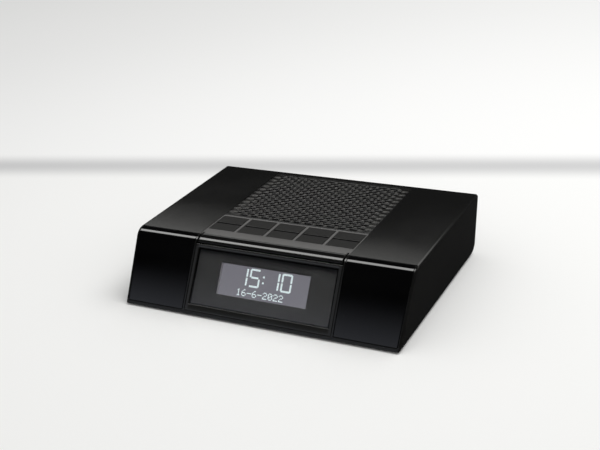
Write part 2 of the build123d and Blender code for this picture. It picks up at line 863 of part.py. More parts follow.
def on_main_board(xs, setbacks, rise):
    """Box on the main board, between two distances from its rear edge."""
    ys = (main_board_rear - setbacks[0], main_board_rear - setbacks[1])
    return block(xs, ys, (main_board_top, main_board_top + rise))


def capacitors():
    y = main_board_rear - capacitor_setback
    zs = (main_board_top, main_board_top + capacitor_height)
    return [rod(capacitor_radius, x, y, *zs) for x in capacitor_xs]


def display_ribbon():
    middle = window_top + window_length / 2
    start = slope_point(middle, display_board_back + ribbon_thickness / 2)
    turn = slope_point(middle, display_board_back + display_ribbon_turn)
    land = main_board_rear - main_board_depth
    flat = main_board_top + ribbon_thickness / 2
    approach = (land - ribbon_land + past, flat + 0.7 * past)
    points = [start, turn, approach, (land + past, flat), (land + ribbon_land, flat)]
    return strip(points, display_ribbon_radii, ribbon_thickness, 0.0, display_ribbon_width)


def key_ribbon():
    rear = roll_start + key_board_end
    under = key_board_top - board_thickness - ribbon_thickness / 2
    land = main_board_rear - main_board_depth
    flat = main_board_top + ribbon_thickness / 2
    fall = (land - 2 * ribbon_land, flat + ribbon_land)
    landing = [(land - ribbon_land / 2, flat), (land + ribbon_land, flat)]
    points = [(rear - key_ribbon_run, under), (rear + 2 * past, under), fall, *landing]
    return strip(points, key_ribbon_radii, ribbon_thickness, key_ribbon_x, key_ribbon_width)


def speaker_leads():
    leads = []
    near, far = lead_xs
    for y in (speaker_y - lead_spacing / 2, speaker_y + lead_spacing / 2):
        path = FilletPolyline(
            (near, y, plate_low),
            (near, y, plate_low - lead_drops[0]),
            (far, y, plate_low - lead_drops[1]),
            (far, y, main_board_top),
            radius=lead_bend_radius,
        )
        leads.append(sweep(Plane(path @ 0, z_dir=path % 0) * Circle(lead_radius), path=path))
    return leads


def cover_screws():
    return [
        screw(x, y, cover_seat, cover_reach, cover_head_radius, cover_head_height, cover_shank, 1)
        for x, y in cover_screw_places
    ]


def small_screws():
    """Identical screws: the main board's point down, the key board's and the speaker's point up."""
    places = [(x, y, main_board_top, -1) for x, y in main_screw_places]
    places += [(x, y, key_board_top - board_thickness, 1) for x, y in key_board_screw_places]
    places += [(x, y, plate_low, 1) for x, y in speaker_screw_places]
    return [
        screw(x, y, seat, small_reach, small_head_radius, small_head_height, small_shank, heading)
        for x, y, seat, heading in places
    ]


def build():
    """Every piece by the name of its node; a list is a group of separate solids."""
    nodes = {
        "top_cover": top_cover(),
        "base_cover": base_cover(),
        "front_panel_left": panel_space(-1, 0.0),
        "front_panel_right": panel_space(1, 0.0),
        "display_bezel": display_bezel(),
        "display_lens": on_slope(
            lens_half_width, lens_top, lens_length, (lens_recess, panel_pocket - mask_thickness)
        ),
        "lens_mask": on_slope(
            lens_half_width, lens_top, lens_length, (panel_pocket - mask_thickness, panel_pocket)
        ) - lcd_stack(0, front_wall, lcd_gap),
        "lcd_holder": lcd_holder(),
        "lcd_cell": lcd_stack(lcd_front, lcd_back, lcd_border - lcd_gap),
        "lcd_backlight": lcd_stack(lcd_back, backlight_back, lcd_border - lcd_gap),
        "display_board": display_board(),
        "display_screws": display_screws(),
        "key_frame": key_frame(),
        "snooze_bar": snooze_bar(),
        "snooze_plungers": [plunger(x, y) for x, y in snooze_switch_places],
        "key_board": key_board(),
        "tact_switches": [switch_case(x, y) for x, y in key_switch_places + snooze_switch_places],
        "speaker_grille": speaker_grille(),
        "grille_cloth": grille_cloth(),
        "speaker_gasket": speaker_gasket(),
        "speaker_basket": speaker_basket(),
        "speaker_surround": speaker_surround(),
        "speaker_cone": speaker_cone(),
        "dust_cap": dust_cap(),
        "voice_coil": voice_coil(),
        "spider": spider(),
        "speaker_magnet": speaker_magnet(),
        "speaker_pole_pieces": speaker_pole_pieces(),
        "main_board": main_board(),
        "tuner_shield": on_main_board(shield_xs, shield_setbacks, shield_height),
        "board_chips": [on_main_board(*chip) for chip in chip_boxes],
        "capacitors": capacitors(),
        "dc_jack": dc_jack(),
        "headphone_jack": headphone_jack(),
        "aerial_grommet": aerial_grommet(),
        "ribbon_cables": [display_ribbon(), key_ribbon()],
        "speaker_leads": speaker_leads(),
        "cover_screws": cover_screws(),
        "small_screws": small_screws(),
        "feet": [rod(foot_radius, x, y, 0, foot_height + foot_recess) for x, y in foot_places],
    }
    for row, name in ((0, "front"), (1, "rear")):
        for column in range(key_columns):
            nodes[f"key_{name}_{column + 1}"] = key(column, row)
            nodes[f"plunger_{name}_{column + 1}"] = plunger(key_columns_x[column], key_middle(row))
    return nodes


os.makedirs("parts", exist_ok=True)
for name, shape in build().items():
    if isinstance(shape, list):
        shape = Compound(children=[Solid(piece.solid().wrapped) for piece in shape])
    export_step(shape, f"parts/{name}.step")
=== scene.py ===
import json
import math

import bmesh
import bpy
import numpy as np
from mathutils import Matrix, Vector


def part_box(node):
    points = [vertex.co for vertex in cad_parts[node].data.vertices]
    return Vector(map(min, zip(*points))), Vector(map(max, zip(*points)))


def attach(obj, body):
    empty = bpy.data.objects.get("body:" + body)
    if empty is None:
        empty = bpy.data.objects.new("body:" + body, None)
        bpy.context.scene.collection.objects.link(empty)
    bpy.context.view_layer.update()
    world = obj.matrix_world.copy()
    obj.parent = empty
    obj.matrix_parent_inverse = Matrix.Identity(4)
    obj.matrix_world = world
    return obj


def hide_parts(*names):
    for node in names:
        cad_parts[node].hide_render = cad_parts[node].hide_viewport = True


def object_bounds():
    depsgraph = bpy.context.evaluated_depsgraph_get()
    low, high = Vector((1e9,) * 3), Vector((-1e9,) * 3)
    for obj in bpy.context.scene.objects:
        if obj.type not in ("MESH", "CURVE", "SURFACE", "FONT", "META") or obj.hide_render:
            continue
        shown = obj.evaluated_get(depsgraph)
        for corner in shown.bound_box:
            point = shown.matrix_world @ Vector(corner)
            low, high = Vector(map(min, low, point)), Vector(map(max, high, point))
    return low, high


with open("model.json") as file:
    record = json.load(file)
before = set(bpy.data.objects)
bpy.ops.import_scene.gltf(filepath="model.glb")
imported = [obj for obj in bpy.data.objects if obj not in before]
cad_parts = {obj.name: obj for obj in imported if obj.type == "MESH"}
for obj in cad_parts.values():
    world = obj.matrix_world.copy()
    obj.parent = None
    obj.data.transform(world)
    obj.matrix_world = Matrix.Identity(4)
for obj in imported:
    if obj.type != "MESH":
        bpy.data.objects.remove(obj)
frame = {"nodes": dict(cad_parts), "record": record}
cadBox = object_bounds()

mm = 0.001
past = 1 * mm  # how far a window runs out beyond an edge that it opens
print("frame loaded:", len(frame["nodes"]), "nodes")

# Nodes and groups


def feed(tree, made, inputs):  # sockets are linked and plain values are set
    for key, value in inputs.items():
        if isinstance(value, bpy.types.NodeSocket):
            tree.links.new(value, made.inputs[key])
        else:
            made.inputs[key].default_value = value


def addNode(tree, kind, inputs=None, **settings):
    made = tree.nodes.new(kind)
    for key, value in settings.items():
        setattr(made, key, value)
    feed(tree, made, inputs or {})
    return made


def calc(tree, operation, first, second=0.0, clamp=False):
    return addNode(tree, "ShaderNodeMath", {0: first, 1: second}, operation=operation,
                   use_clamp=clamp).outputs[0]


def fade(tree, value, low, high, outLow=0.0, outHigh=1.0):  # soft step of value from low to high
    return addNode(tree, "ShaderNodeMapRange", {"Value": value, "From Min": low, "From Max": high,
                                                "To Min": outLow, "To Max": outHigh},
                   interpolation_type="SMOOTHSTEP").outputs["Result"]


def noise(tree, place, scale, detail=2.0):
    return addNode(tree, "ShaderNodeTexNoise", {"Vector": place, "Scale": scale, "Detail": detail}).outputs[0]


def vectorCalc(tree, operation, *inputs):
    return addNode(tree, "ShaderNodeVectorMath", dict(enumerate(inputs)), operation=operation).outputs


def splitAxes(tree, vector):
    return addNode(tree, "ShaderNodeSeparateXYZ", {0: vector}).outputs


def blendColour(tree, share, first, second):
    first, second = (v if isinstance(v, bpy.types.NodeSocket) else (*v[:3], 1.0) for v in (first, second))
    made = addNode(tree, "ShaderNodeMix", {"Factor": share, 6: first, 7: second}, data_type="RGBA")
    return made.outputs[2]


def startGroup(name, inputs, outputs):
    tree = bpy.data.node_groups.new(name, "ShaderNodeTree")
    for label, kind, value in inputs:
        socket = tree.interface.new_socket(label, in_out="INPUT", socket_type="NodeSocket" + kind)
        socket.default_value = value
    for label, kind in outputs:
        tree.interface.new_socket(label, in_out="OUTPUT", socket_type="NodeSocket" + kind)
    return tree, tree.nodes.new("NodeGroupInput").outputs, tree.nodes.new("NodeGroupOutput").inputs


# Shared by every finish: shares of the grain, how many marks to a metre, and where soft steps begin and end
marks = {"noiseSpan": (0.2, 0.8), "noiseShare": 0.6, "cellShare": 0.4, "flowScale": 26.0,
         "flowStep": (0.3, 0.7), "wearAndSheenScale": 420.0, "wearAndSheenStep": (0.25, 0.75), "wearAndSheenReach": (0.6, 1.3),
         "wearAndSheenShare": 0.6, "speckScale": 1500.0, "speckStep": (0.58, 0.74), "driftScale": 18.0,
         "driftStep": (0.35, 0.7), "dustTint": (0.35, 0.34, 0.32), "dustRough": 0.4, "tintLow": 0.92,
         "tintHigh": 1.08, "bump": 0.6, "crossStep": (-0.2, 0.2), "gapStep": (0.45, 0.1)}


# Fine spark-eroded grain of a mould: Height = noise and cell distance, each times its share, and Cloud = slow
# flow marks from 0 to 1.
def makeMouldGrain():
    tree, given, put = startGroup("mouldGrain", [("Vector", "Vector", (0, 0, 0)), ("Scale", "Float", 3000.0)],
                                  [("Height", "Float"), ("Cloud", "Float")])
    fine = noise(tree, given["Vector"], given["Scale"])
    cells = addNode(tree, "ShaderNodeTexVoronoi", {"Vector": given["Vector"], "Scale": given["Scale"]})
    slow = noise(tree, given["Vector"], marks["flowScale"], 3.0)
    height = calc(tree, "ADD", calc(tree, "MULTIPLY", fine, marks["noiseShare"]),
                  calc(tree, "MULTIPLY", cells.outputs["Distance"], marks["cellShare"]))
    tree.links.new(height, put["Height"])
    tree.links.new(fade(tree, slow, *marks["flowStep"]), put["Cloud"])
    return tree


# Where two faces of the piece's box meet: Mask falls from 1 to 0 as the second nearest face gets Width away.
# The lighter edge it marks is partly wear and partly a painted highlight for the light the edges catch.
def makeEdgeWearAndSheen():
    sockets = [("Vector", "Vector", (0, 0, 0)), ("Centre", "Vector", (0, 0, 0)), ("Half", "Vector", (1, 1, 1)),
               ("Width", "Float", 0.001)]
    tree, given, put = startGroup("edgeWearAndSheen", sockets, [("Mask", "Float")])
    away = vectorCalc(tree, "SUBTRACT", given["Vector"], given["Centre"])[0]
    inside = vectorCalc(tree, "SUBTRACT", given["Half"], vectorCalc(tree, "ABSOLUTE", away)[0])[0]
    x, y, z = splitAxes(tree, inside)
    near, far = calc(tree, "MINIMUM", x, y), calc(tree, "MAXIMUM", x, y)
    second = calc(tree, "MAXIMUM", near, calc(tree, "MINIMUM", far, z))
    wearAndSheenNoise = noise(tree, given["Vector"], marks["wearAndSheenScale"], 3.0)
    reach = calc(tree, "MULTIPLY", given["Width"], fade(tree, wearAndSheenNoise, *marks["wearAndSheenStep"], *marks["wearAndSheenReach"]))
    share = calc(tree, "DIVIDE", second, reach)
    tree.links.new(fade(tree, share, 1.0, 0.0), put["Mask"])
    return tree


# Thin settled dust: Mask = sparse noise specks times how far the surface faces up.
def makeDustFilm():
    tree, given, put = startGroup("dustFilm", [("Vector", "Vector", (0, 0, 0)), ("Amount", "Float", 0.1)],
                                  [("Mask", "Float")])
    specks = fade(tree, noise(tree, given["Vector"], marks["speckScale"]), *marks["speckStep"])
    drift = fade(tree, noise(tree, given["Vector"], marks["driftScale"]), *marks["driftStep"])
    facing = splitAxes(tree, addNode(tree, "ShaderNodeNewGeometry").outputs["Normal"])[2]
    mask = calc(tree, "MULTIPLY", calc(tree, "MULTIPLY", specks, drift), calc(tree, "MAXIMUM", facing, 0.0))
    tree.links.new(calc(tree, "MULTIPLY", mask, given["Amount"]), put["Mask"])
    return tree


# Plain weave of two thread sets: Height = larger of |sin x| and |sin y|, swapped from cell to cell.
def makeWeave():
    tree, given, put = startGroup("plainWeave", [("Vector", "Vector", (0, 0, 0)), ("Threads", "Float", 2500.0)],
                                  [("Height", "Float"), ("Gap", "Float")])
    turn = calc(tree, "MULTIPLY", given["Threads"], math.pi)
    ways = splitAxes(tree, given["Vector"])[:2]
    waves = [calc(tree, "SINE", calc(tree, "MULTIPLY", way, turn)) for way in ways]
    over = fade(tree, calc(tree, "MULTIPLY", *waves), *marks["crossStep"])
    ridges = [calc(tree, "ABSOLUTE", wave) for wave in waves]
    first = calc(tree, "MULTIPLY", ridges[0], over)
    second = calc(tree, "MULTIPLY", ridges[1], calc(tree, "SUBTRACT", 1.0, over))
    height = calc(tree, "ADD", first, second)
    tree.links.new(height, put["Height"])
    tree.links.new(fade(tree, height, *marks["gapStep"]), put["Gap"])
    return tree


groups = {"grain": makeMouldGrain(), "edge": makeEdgeWearAndSheen(), "dust": makeDustFilm(), "weave": makeWeave()}
print("shader groups made:", len(groups))

# Finishes

# Grain is in cells per metre and its depth in metres, and flow is how much the flow marks change the roughness.
# Edge is how much an edge lightens, over edgeWidth, partly as wear and partly as painted highlight. Gap is how
# far down a gap goes dark with painted shade, the grille's extra tint is a painted highlight on its web tops,
# and shine the reflection level where it isn't the usual one.
plain = {"grain": 3000.0, "depth": 0.00001, "flow": 0.05}  # of a finish that doesn't say
smooth = {"grain": 1500.0, "depth": 0.000004}
finishes = {
    "shell_satin": {"tint": (0.0066, 0.0066, 0.0062), "rough": 0.16, "grain": 2600.0, "depth": 0.000012,
                    "flow": 0.04, "edge": 0.016, "edgeWidth": 0.0012, "dust": 0.01},
    "base_satin": {"tint": (0.0070, 0.0070, 0.0066), "rough": 0.36, "grain": 2200.0, "depth": 0.000016,
                   "flow": 0.08, "edge": 0.010, "edgeWidth": 0.0010},
    "panel_gloss": {"tint": (0.0012, 0.0012, 0.0013), "rough": 0.055, "grain": 900.0, "depth": 0.0000006,
                    "flow": 0.02, "edge": 0.012, "edgeWidth": 0.0006, "dust": 0.01},
    "bezel_satin": {"tint": (0.0120, 0.0120, 0.0112), "rough": 0.22, "grain": 2600.0, "depth": 0.000006,
                    "flow": 0.04, "edge": 0.020, "edgeWidth": 0.0006},
    "bar_gloss": {"tint": (0.0055, 0.0055, 0.0053), "rough": 0.085, "grain": 1200.0, "depth": 0.000002,
                  "flow": 0.03, "edge": 0.020, "edgeWidth": 0.0006, "dust": 0.02},
    "mask_print": {"tint": (0.052, 0.052, 0.050), "rough": 0.55, "grain": 5200.0, "depth": 0.000003},
    "holder_grey": {"tint": (0.52, 0.51, 0.53), "rough": 0.5},
    "light_guide": {"tint": (0.75, 0.75, 0.80), "rough": 0.4, "flow": 0.03},
    "circuit_board": {"tint": (0.012, 0.09, 0.035), "rough": 0.32, "grain": 1400.0, "flow": 0.1},
    "key_satin": {"tint": (0.0125, 0.0121, 0.0115), "rough": 0.42, "grain": 2600.0, "depth": 0.000014,
                  "edge": 0.020, "edgeWidth": 0.0006, "dust": 0.02, "shine": 0.25, "gap": 0.0008},
    "frame_satin": {"tint": (0.1050, 0.1030, 0.1000), "rough": 0.38, "grain": 2600.0, "depth": 0.000012,
                    "edge": 0.040, "edgeWidth": 0.0005, "dust": 0.02, "gap": 0.0008},
    "switch_black": {"tint": (0.02, 0.02, 0.02), "rough": 0.45},
    "plunger_brown": {"tint": (0.20, 0.11, 0.06), "rough": 0.45},
    # painted highlight: the grille's lighter web-top tint stands in for the glints its webs catch
    "grille_satin": {"tint": (0.0065, 0.0063, 0.0058), "rough": 0.26, "grain": 2600.0, "depth": 0.000010,
                     "dust": 0.02, "gap": 0.0016, "paintedGlint": (0.095, 0.092, 0.085)},
    "foam_black": {"tint": (0.018, 0.018, 0.018), "rough": 0.95, "grain": 1500.0, "depth": 0.0002},
    "ferrite": {"tint": (0.05, 0.05, 0.055), "rough": 0.6, "grain": 1800.0, "depth": 0.00004, "flow": 0.1},
    "paper_cone": {"tint": (0.022, 0.022, 0.021), "rough": 0.85, "grain": 1200.0, "depth": 0.00006,
                   "flow": 0.1},
    "surround_rubber": {"tint": (0.012, 0.012, 0.012), "rough": 0.5, "grain": 2000.0, "flow": 0.1},
    "chip_black": {"tint": (0.012, 0.012, 0.012), "rough": 0.5},
    "capacitor_sleeve": {"tint": (0.01, 0.01, 0.03), "rough": 0.25, "grain": 1500.0, "depth": 0.000002},
    "jack_black": {"tint": (0.012, 0.012, 0.012), "rough": 0.38, "grain": 2600.0, "edge": 0.03,
                   "edgeWidth": 0.0005},
    "ribbon_white": {"tint": (0.62, 0.62, 0.60), "rough": 0.35, **smooth},
    "wire_red": {"tint": (0.35, 0.012, 0.012), "rough": 0.4, **smooth},
    "foot_rubber": {"tint": (0.016, 0.016, 0.016), "rough": 0.78, "grain": 1800.0, "depth": 0.00003,
                    "flow": 0.1, "dust": 0.15},
    "basket_steel": {"tint": (0.015, 0.015, 0.015), "rough": 0.35, "grain": 900.0, "flow": 0.1},
}
streaks = {"scale": (60.0, 1800.0, 1800.0), "cloudScale": 240.0, "dull": 0.8, "smoother": 0.08, "rougher": 0.12,
           "depth": 0.000005, "bump": 0.4}
threads = {"gapTint": 0.25, "bump": 0.8, "rough": 0.9}
metals = {
    "steel_zinc": {"tint": (0.60, 0.61, 0.62), "rough": 0.34},
    "coil_copper": {"tint": (0.72, 0.33, 0.16), "rough": 0.30},
    "shield_tin": {"tint": (0.68, 0.68, 0.67), "rough": 0.28},
    "screw_zinc": {"tint": (0.55, 0.56, 0.57), "rough": 0.30},
}
weaves = {
    "cloth_black": {"tint": (0.004, 0.004, 0.004), "threads": 1800.0, "depth": 0.00008},
    "spider_cloth": {"tint": (0.45, 0.33, 0.12), "threads": 1300.0, "depth": 0.00012},
}


def scaled(tint, *shares):  # the tint at each share of its brightness
    return [[min(c * share, 1.0) for c in tint] for share in shares]


def addBump(tree, shader, height, depth, strength):
    bump = addNode(tree, "ShaderNodeBump", {"Height": height, "Distance": depth, "Strength": strength})
    feed(tree, shader, {"Normal": bump.outputs[0]})


def startMaterial(name):
    material = bpy.data.materials.new(name)
    material.use_nodes = True
    tree = material.node_tree
    place = addNode(tree, "ShaderNodeTexCoord").outputs["Object"]
    return material, tree, tree.nodes["Principled BSDF"], place


# Grain bump, flow marks in the roughness, lighter edges (partly wear, partly painted highlight) and a trace of
# dust, all added to one tint.
def mouldedPlastic(name, look, box=None):
    material, tree, shader, place = startMaterial(name)
    grain = addNode(tree, "ShaderNodeGroup", {"Vector": place, "Scale": look["grain"]},
                    node_tree=groups["grain"])
    cloud = grain.outputs["Cloud"]
    colour = blendColour(tree, cloud, *scaled(look["tint"], marks["tintLow"], marks["tintHigh"]))
    rough = fade(tree, cloud, 0.0, 1.0, look["rough"] - look["flow"] / 2, look["rough"] + look["flow"] / 2)
    if box and "edge" in look:
        low, high = box
        edge = addNode(tree, "ShaderNodeGroup", {"Vector": place, "Centre": (low + high) / 2,
                                                 "Half": (high - low) / 2, "Width": look["edgeWidth"]},
                       node_tree=groups["edge"])
        # lighter edges: partly wear, partly a painted highlight
        share = calc(tree, "MULTIPLY", edge.outputs["Mask"], marks["wearAndSheenShare"])
        colour = blendColour(tree, share, colour, [c + look["edge"] for c in look["tint"]])
    if "paintedGlint" in look:  # painted highlight: the web tops between the grille's slots get a lighter tint for the glints they catch
        share = addNode(tree, "ShaderNodeAttribute", attribute_name="paintedGlint").outputs["Fac"]
        colour = blendColour(tree, share, colour, look["paintedGlint"])
    if box and "gap" in look:  # painted shade: darker down in the gaps, below the top of the piece
        top = box[1].z
        share = fade(tree, splitAxes(tree, place)[2], top - look["gap"], top - look["gap"] / 4)
        colour = blendColour(tree, share, (0, 0, 0), colour)
    if "shine" in look:
        feed(tree, shader, {"Specular IOR Level": look["shine"]})
    if "dust" in look:
        dust = addNode(tree, "ShaderNodeGroup", {"Vector": place, "Amount": look["dust"]},
                       node_tree=groups["dust"]).outputs["Mask"]
        colour = blendColour(tree, dust, colour, marks["dustTint"])
        rough = calc(tree, "ADD", rough, calc(tree, "MULTIPLY", dust, marks["dustRough"]), clamp=True)
    feed(tree, shader, {"Base Color": colour, "Roughness": rough})
    addBump(tree, shader, grain.outputs["Height"], look["depth"], marks["bump"])
    return material


# Plated steel or wire: brushed streaks along X change the roughness, cloudy plating changes the tint.
def platedMetal(name, look):
    material, tree, shader, place = startMaterial(name)
    stretch = addNode(tree, "ShaderNodeMapping", {"Vector": place, "Scale": streaks["scale"]})
    streak = noise(tree, stretch.outputs[0], 1.0, 3.0)
    cloudy = noise(tree, place, streaks["cloudScale"], 3.0)
    colour = blendColour(tree, cloudy, *scaled(look["tint"], streaks["dull"], 1.0))
    low, high = look["rough"] - streaks["smoother"], look["rough"] + streaks["rougher"]
    rough = fade(tree, streak, *marks["noiseSpan"], low, high)
    feed(tree, shader, {"Base Color": colour, "Roughness": rough, "Metallic": 1.0})
    addBump(tree, shader, streak, streaks["depth"], streaks["bump"])
    return material


# Woven threads as bump, with the gaps between threads darker.
def wovenCloth(name, look):
    material, tree, shader, place = startMaterial(name)
    weave = addNode(tree, "ShaderNodeGroup", {"Vector": place, "Threads": look["threads"]},
                    node_tree=groups["weave"])
    colour = blendColour(tree, weave.outputs["Gap"], *scaled(look["tint"], 1.0, threads["gapTint"]))
    feed(tree, shader, {"Base Color": colour, "Roughness": threads["rough"]})
    addBump(tree, shader, weave.outputs["Height"], look["depth"], threads["bump"])
    return material


lens = {"tint": (0.90, 0.90, 0.91), "rough": 0.05, "roughSpread": 0.3, "veilScale": 90.0, "ior": 1.49,
        "rim": 0.25, "recess": 0.7 * mm, "thickness": 1.1 * mm, "shadeFrom": 0.3 * mm, "shadeTo": 0.9 * mm}


# Clear window whose roughness varies a little, as an anti-glare surface does. A dark rim of painted shade,
# where the recess shades the lens edge, fades out between two distances measured from the nearest edge.
def smokeLens(name):
    material, tree, shader, place = startMaterial(name)
    veil = noise(tree, place, lens["veilScale"], 3.0)
    smoother, rougher = (lens["rough"] * (1 + sign * lens["roughSpread"]) for sign in (-1, 1))
    rough = fade(tree, veil, *marks["noiseSpan"], smoother, rougher)
    low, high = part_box("display_lens")
    x, _, z = splitAxes(tree, place)
    sides = calc(tree, "SUBTRACT", high.x, calc(tree, "ABSOLUTE", x))
    ends = calc(tree, "MINIMUM", calc(tree, "SUBTRACT", z, low.z), calc(tree, "SUBTRACT", high.z, z))
    # painted shade: black towards the lens edges, where the recess shades them
    rimShadeShare = fade(tree, calc(tree, "MINIMUM", sides, ends), lens["shadeFrom"], lens["shadeTo"])
    feed(tree, shader, {"Base Color": blendColour(tree, rimShadeShare, (0.0, 0.0, 0.0), lens["tint"]),
                        "Roughness": rough, "Transmission Weight": 1.0, "IOR": lens["ior"]})
    return material


materials = {}


# The material of a slot; a finish with lighter edges (wear and painted highlight) or painted gap shade is made
# once for each node, about that node's box.
def finish(slot, node=None):
    look = finishes.get(slot)
    key = f"{slot}.{node}" if look and ("edge" in look or "gap" in look) and node else slot
    if key not in materials:
        if slot in metals:
            materials[key] = platedMetal(key, metals[slot])
        elif slot in weaves:
            materials[key] = wovenCloth(key, weaves[slot])
        elif slot == "lens_clear":
            materials[key] = smokeLens(key)
        elif slot == "lcd_glass":
            materials[key] = litDisplay(key)
        else:
            materials[key] = mouldedPlastic(key, {**plain, **look}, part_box(node) if node else None)
    return materials[key]


# The front is one line from the top plate over the roll and down the slope. s is the distance down it from the
# lower end of the roll, and n the distance outwards from the housing's skin.
skin = {"slantDeg": 31.8, "rollRadius": 8.2 * mm, "inlayStart": 0.9 * mm, "sideDraft": 1.8 * mm,
        "draftEnd": 1 * mm}
slant = math.radians(skin["slantDeg"])
topZ = cadBox[1].z
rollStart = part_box("key_frame")[0].y - skin["inlayStart"]
rollArc = skin["rollRadius"] * (math.pi / 2 - slant)


# Roll: centre + (radius + n) (0, -cos e, sin e), e = slant + angle on the roll. Past its ends: a straight run.
def skinPoints(x, s, n):
    x, s, n = np.broadcast_arrays(x, s, n)
    turn = slant + np.clip(-s, 0, rollArc) / skin["rollRadius"]
    reach = skin["rollRadius"] + n
    below, behind = np.maximum(s, 0), np.maximum(-s - rollArc, 0)
    y = rollStart - reach * np.cos(turn) - below * math.sin(slant) + behind
    z = topZ - skin["rollRadius"] + reach * np.sin(turn) - below * math.cos(slant)
    return np.stack([x, y, z], axis=-1)


def slopeAt(z):  # distance down the slope at a height
    rollEndZ = topZ - skin["rollRadius"] * (1 - math.sin(slant))
    return (rollEndZ - z) / math.cos(slant)


def topAt(y):  # the same distance for a place on the top plate
    return -(y - rollStart) - rollArc


# A closed mesh with its doubles merged, its normals outwards and sharp edges past an angle.
def addPiece(name, points, faces, material, body, stands=(), sharp=40.0, paintedGlint=None):
    mesh = bpy.data.meshes.new(name)
    mesh.from_pydata(np.reshape(points, (-1, 3)).tolist(), [], [list(face) for face in faces])
    # share of painted highlight at each point, read by the grille's material
    if paintedGlint is not None:
        mesh.attributes.new("paintedGlint", "FLOAT", "POINT").data.foreach_set("value", paintedGlint.astype(np.float32))
    clean = bmesh.new()
    clean.from_mesh(mesh)
    bmesh.ops.remove_doubles(clean, verts=clean.verts, dist=1e-7)
    bmesh.ops.delete(clean, geom=[v for v in clean.verts if not v.link_faces], context="VERTS")
    bmesh.ops.recalc_face_normals(clean, faces=clean.faces)
    clean.to_mesh(mesh)
    clean.free()
    mesh.polygons.foreach_set("use_smooth", np.ones(len(mesh.polygons), bool))
    mesh.set_sharp_from_angle(angle=math.radians(sharp))
    mesh.materials.append(material)
    piece = bpy.data.objects.new(name, mesh)
    bpy.context.scene.collection.objects.link(piece)
    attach(piece, body)
    if stands:
        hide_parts(*stands)
    return piece


# Quads of a grid of points that is stored row by row.
def gridFaces(rows, columns, start=0):
    i, j = np.meshgrid(np.arange(rows - 1), np.arange(columns - 1), indexing="ij")
    a = start + i * columns + j
    return np.stack([a, a + columns, a + columns + 1, a + 1], axis=-1).reshape(-1, 4)


# Faces of a slab made of two equal grids, upper then lower: both sides of each filled cell, and a wall wherever
# a filled cell has an empty one beside it.
def slabFaces(solid):
    rows, columns = solid.shape
    across = columns + 1
    under = (rows + 1) * across
    i, j = np.nonzero(solid)
    a = i * across + j
    corners = np.stack([a, a + across, a + across + 1, a + 1], axis=-1)
    faces = [corners, corners[:, ::-1] + under]
    padded = np.pad(solid, 1)
    for side, (di, dj) in enumerate(((0, -1), (1, 0), (0, 1), (-1, 0))):
        bare = ~padded[i + 1 + di, j + 1 + dj]
        first, second = corners[bare][:, side], corners[bare][:, (side + 1) % 4]
        faces.append(np.stack([second, first, first + under, second + under], axis=-1))
    return np.concatenate(faces)


rimRoom = {"after": 1.15,
           "clear": 1.3}  # in rim radii: the first line past a rim, and where the plain ones may be


# Grid lines from low to high: crowded over a round rim at each end, then the ones asked for between.
def rimLines(low, high, rim, inside, steps=4):
    arc = rim * (1 - np.cos(np.linspace(0, math.pi / 2, steps)))
    arc = np.append(arc, rim * rimRoom["after"])
    inside = np.asarray(inside, float)
    clear = rim * rimRoom["clear"]
    inside = inside[(inside > low + clear) & (inside < high - clear)]
    return np.concatenate([low + arc, inside, (high - arc)[::-1]])


# How far a round rim lies under the face: rim - sqrt(rim^2 - q^2), q the overlap with the nearest rim.
def rimDrop(x, s, outer, windows, rim):
    (xLow, xHigh), (sLow, sHigh) = outer
    qx = np.maximum(rim - np.minimum(x - xLow, xHigh - x), 0)
    qs = np.maximum(rim - np.minimum(s - sLow, sHigh - s), 0)
    q = np.hypot(qx, qs)
    for (x0, x1), (s0, s1) in windows:
        dx = np.maximum(np.maximum(x0 - x, x - x1), 0)
        ds = np.maximum(np.maximum(s0 - s, s - s1), 0)
        q = np.maximum(q, rim - np.hypot(dx, ds))
    q = np.clip(q, 0, rim)
    return rim - np.sqrt(np.maximum(rim * rim - q * q, 0))


# Slab that follows the skin between two x and two s, with a round rim along its face's edges and windows. Its
# face is at n = lift - rimDrop, and its back a thickness below lift.
def skinSlab(name, look, outer, thickness, material, body, stands, windows=(), lift=0.0, lean=None):
    rim = look["rim"] * mm
    (xLow, xHigh), (sLow, sHigh) = outer
    arcLines = np.linspace(-rollArc, 0, look.get("arcSteps", 24))
    evenly = np.linspace(sLow, sHigh, look.get("steps", 8))
    xLines = rimLines(xLow, xHigh, rim, np.linspace(xLow, xHigh, look.get("steps", 8)))
    sLines = rimLines(sLow, sHigh, rim, np.union1d(arcLines, evenly))
    arc = rim * (1 - np.cos(np.linspace(0, math.pi / 2, 4)))
    for (x0, x1), (s0, s1) in windows:
        xLines = np.concatenate([xLines, x0 - arc, x1 + arc])
        sLines = np.concatenate([sLines, s0 - arc, s1 + arc])
    xLines = np.unique(xLines[(xLines >= xLow) & (xLines <= xHigh)].round(7))
    sLines = np.unique(sLines[(sLines >= sLow) & (sLines <= sHigh)].round(7))
    s, x = np.meshgrid(sLines, xLines, indexing="ij")
    upper = lift - rimDrop(x, s, outer, windows, rim)
    midX, midS = (xLines[1:] + xLines[:-1]) / 2, (sLines[1:] + sLines[:-1]) / 2
    solid = np.ones((len(midS), len(midX)), bool)
    for (x0, x1), (s0, s1) in windows:
        solid &= ~(((midS > s0) & (midS < s1))[:, None] & ((midX > x0) & (midX < x1))[None, :])
    placed = x if lean is None else lean(x, s)
    points = np.stack([skinPoints(placed, s, upper), skinPoints(placed, s, lift - thickness)])
    return addPiece(name, points, slabFaces(solid), material, body, stands)


# Front panels and bezel

panels = {"thickness": 1.9 * mm, "rim": 0.35, "steps": 10, "arcSteps": 40}


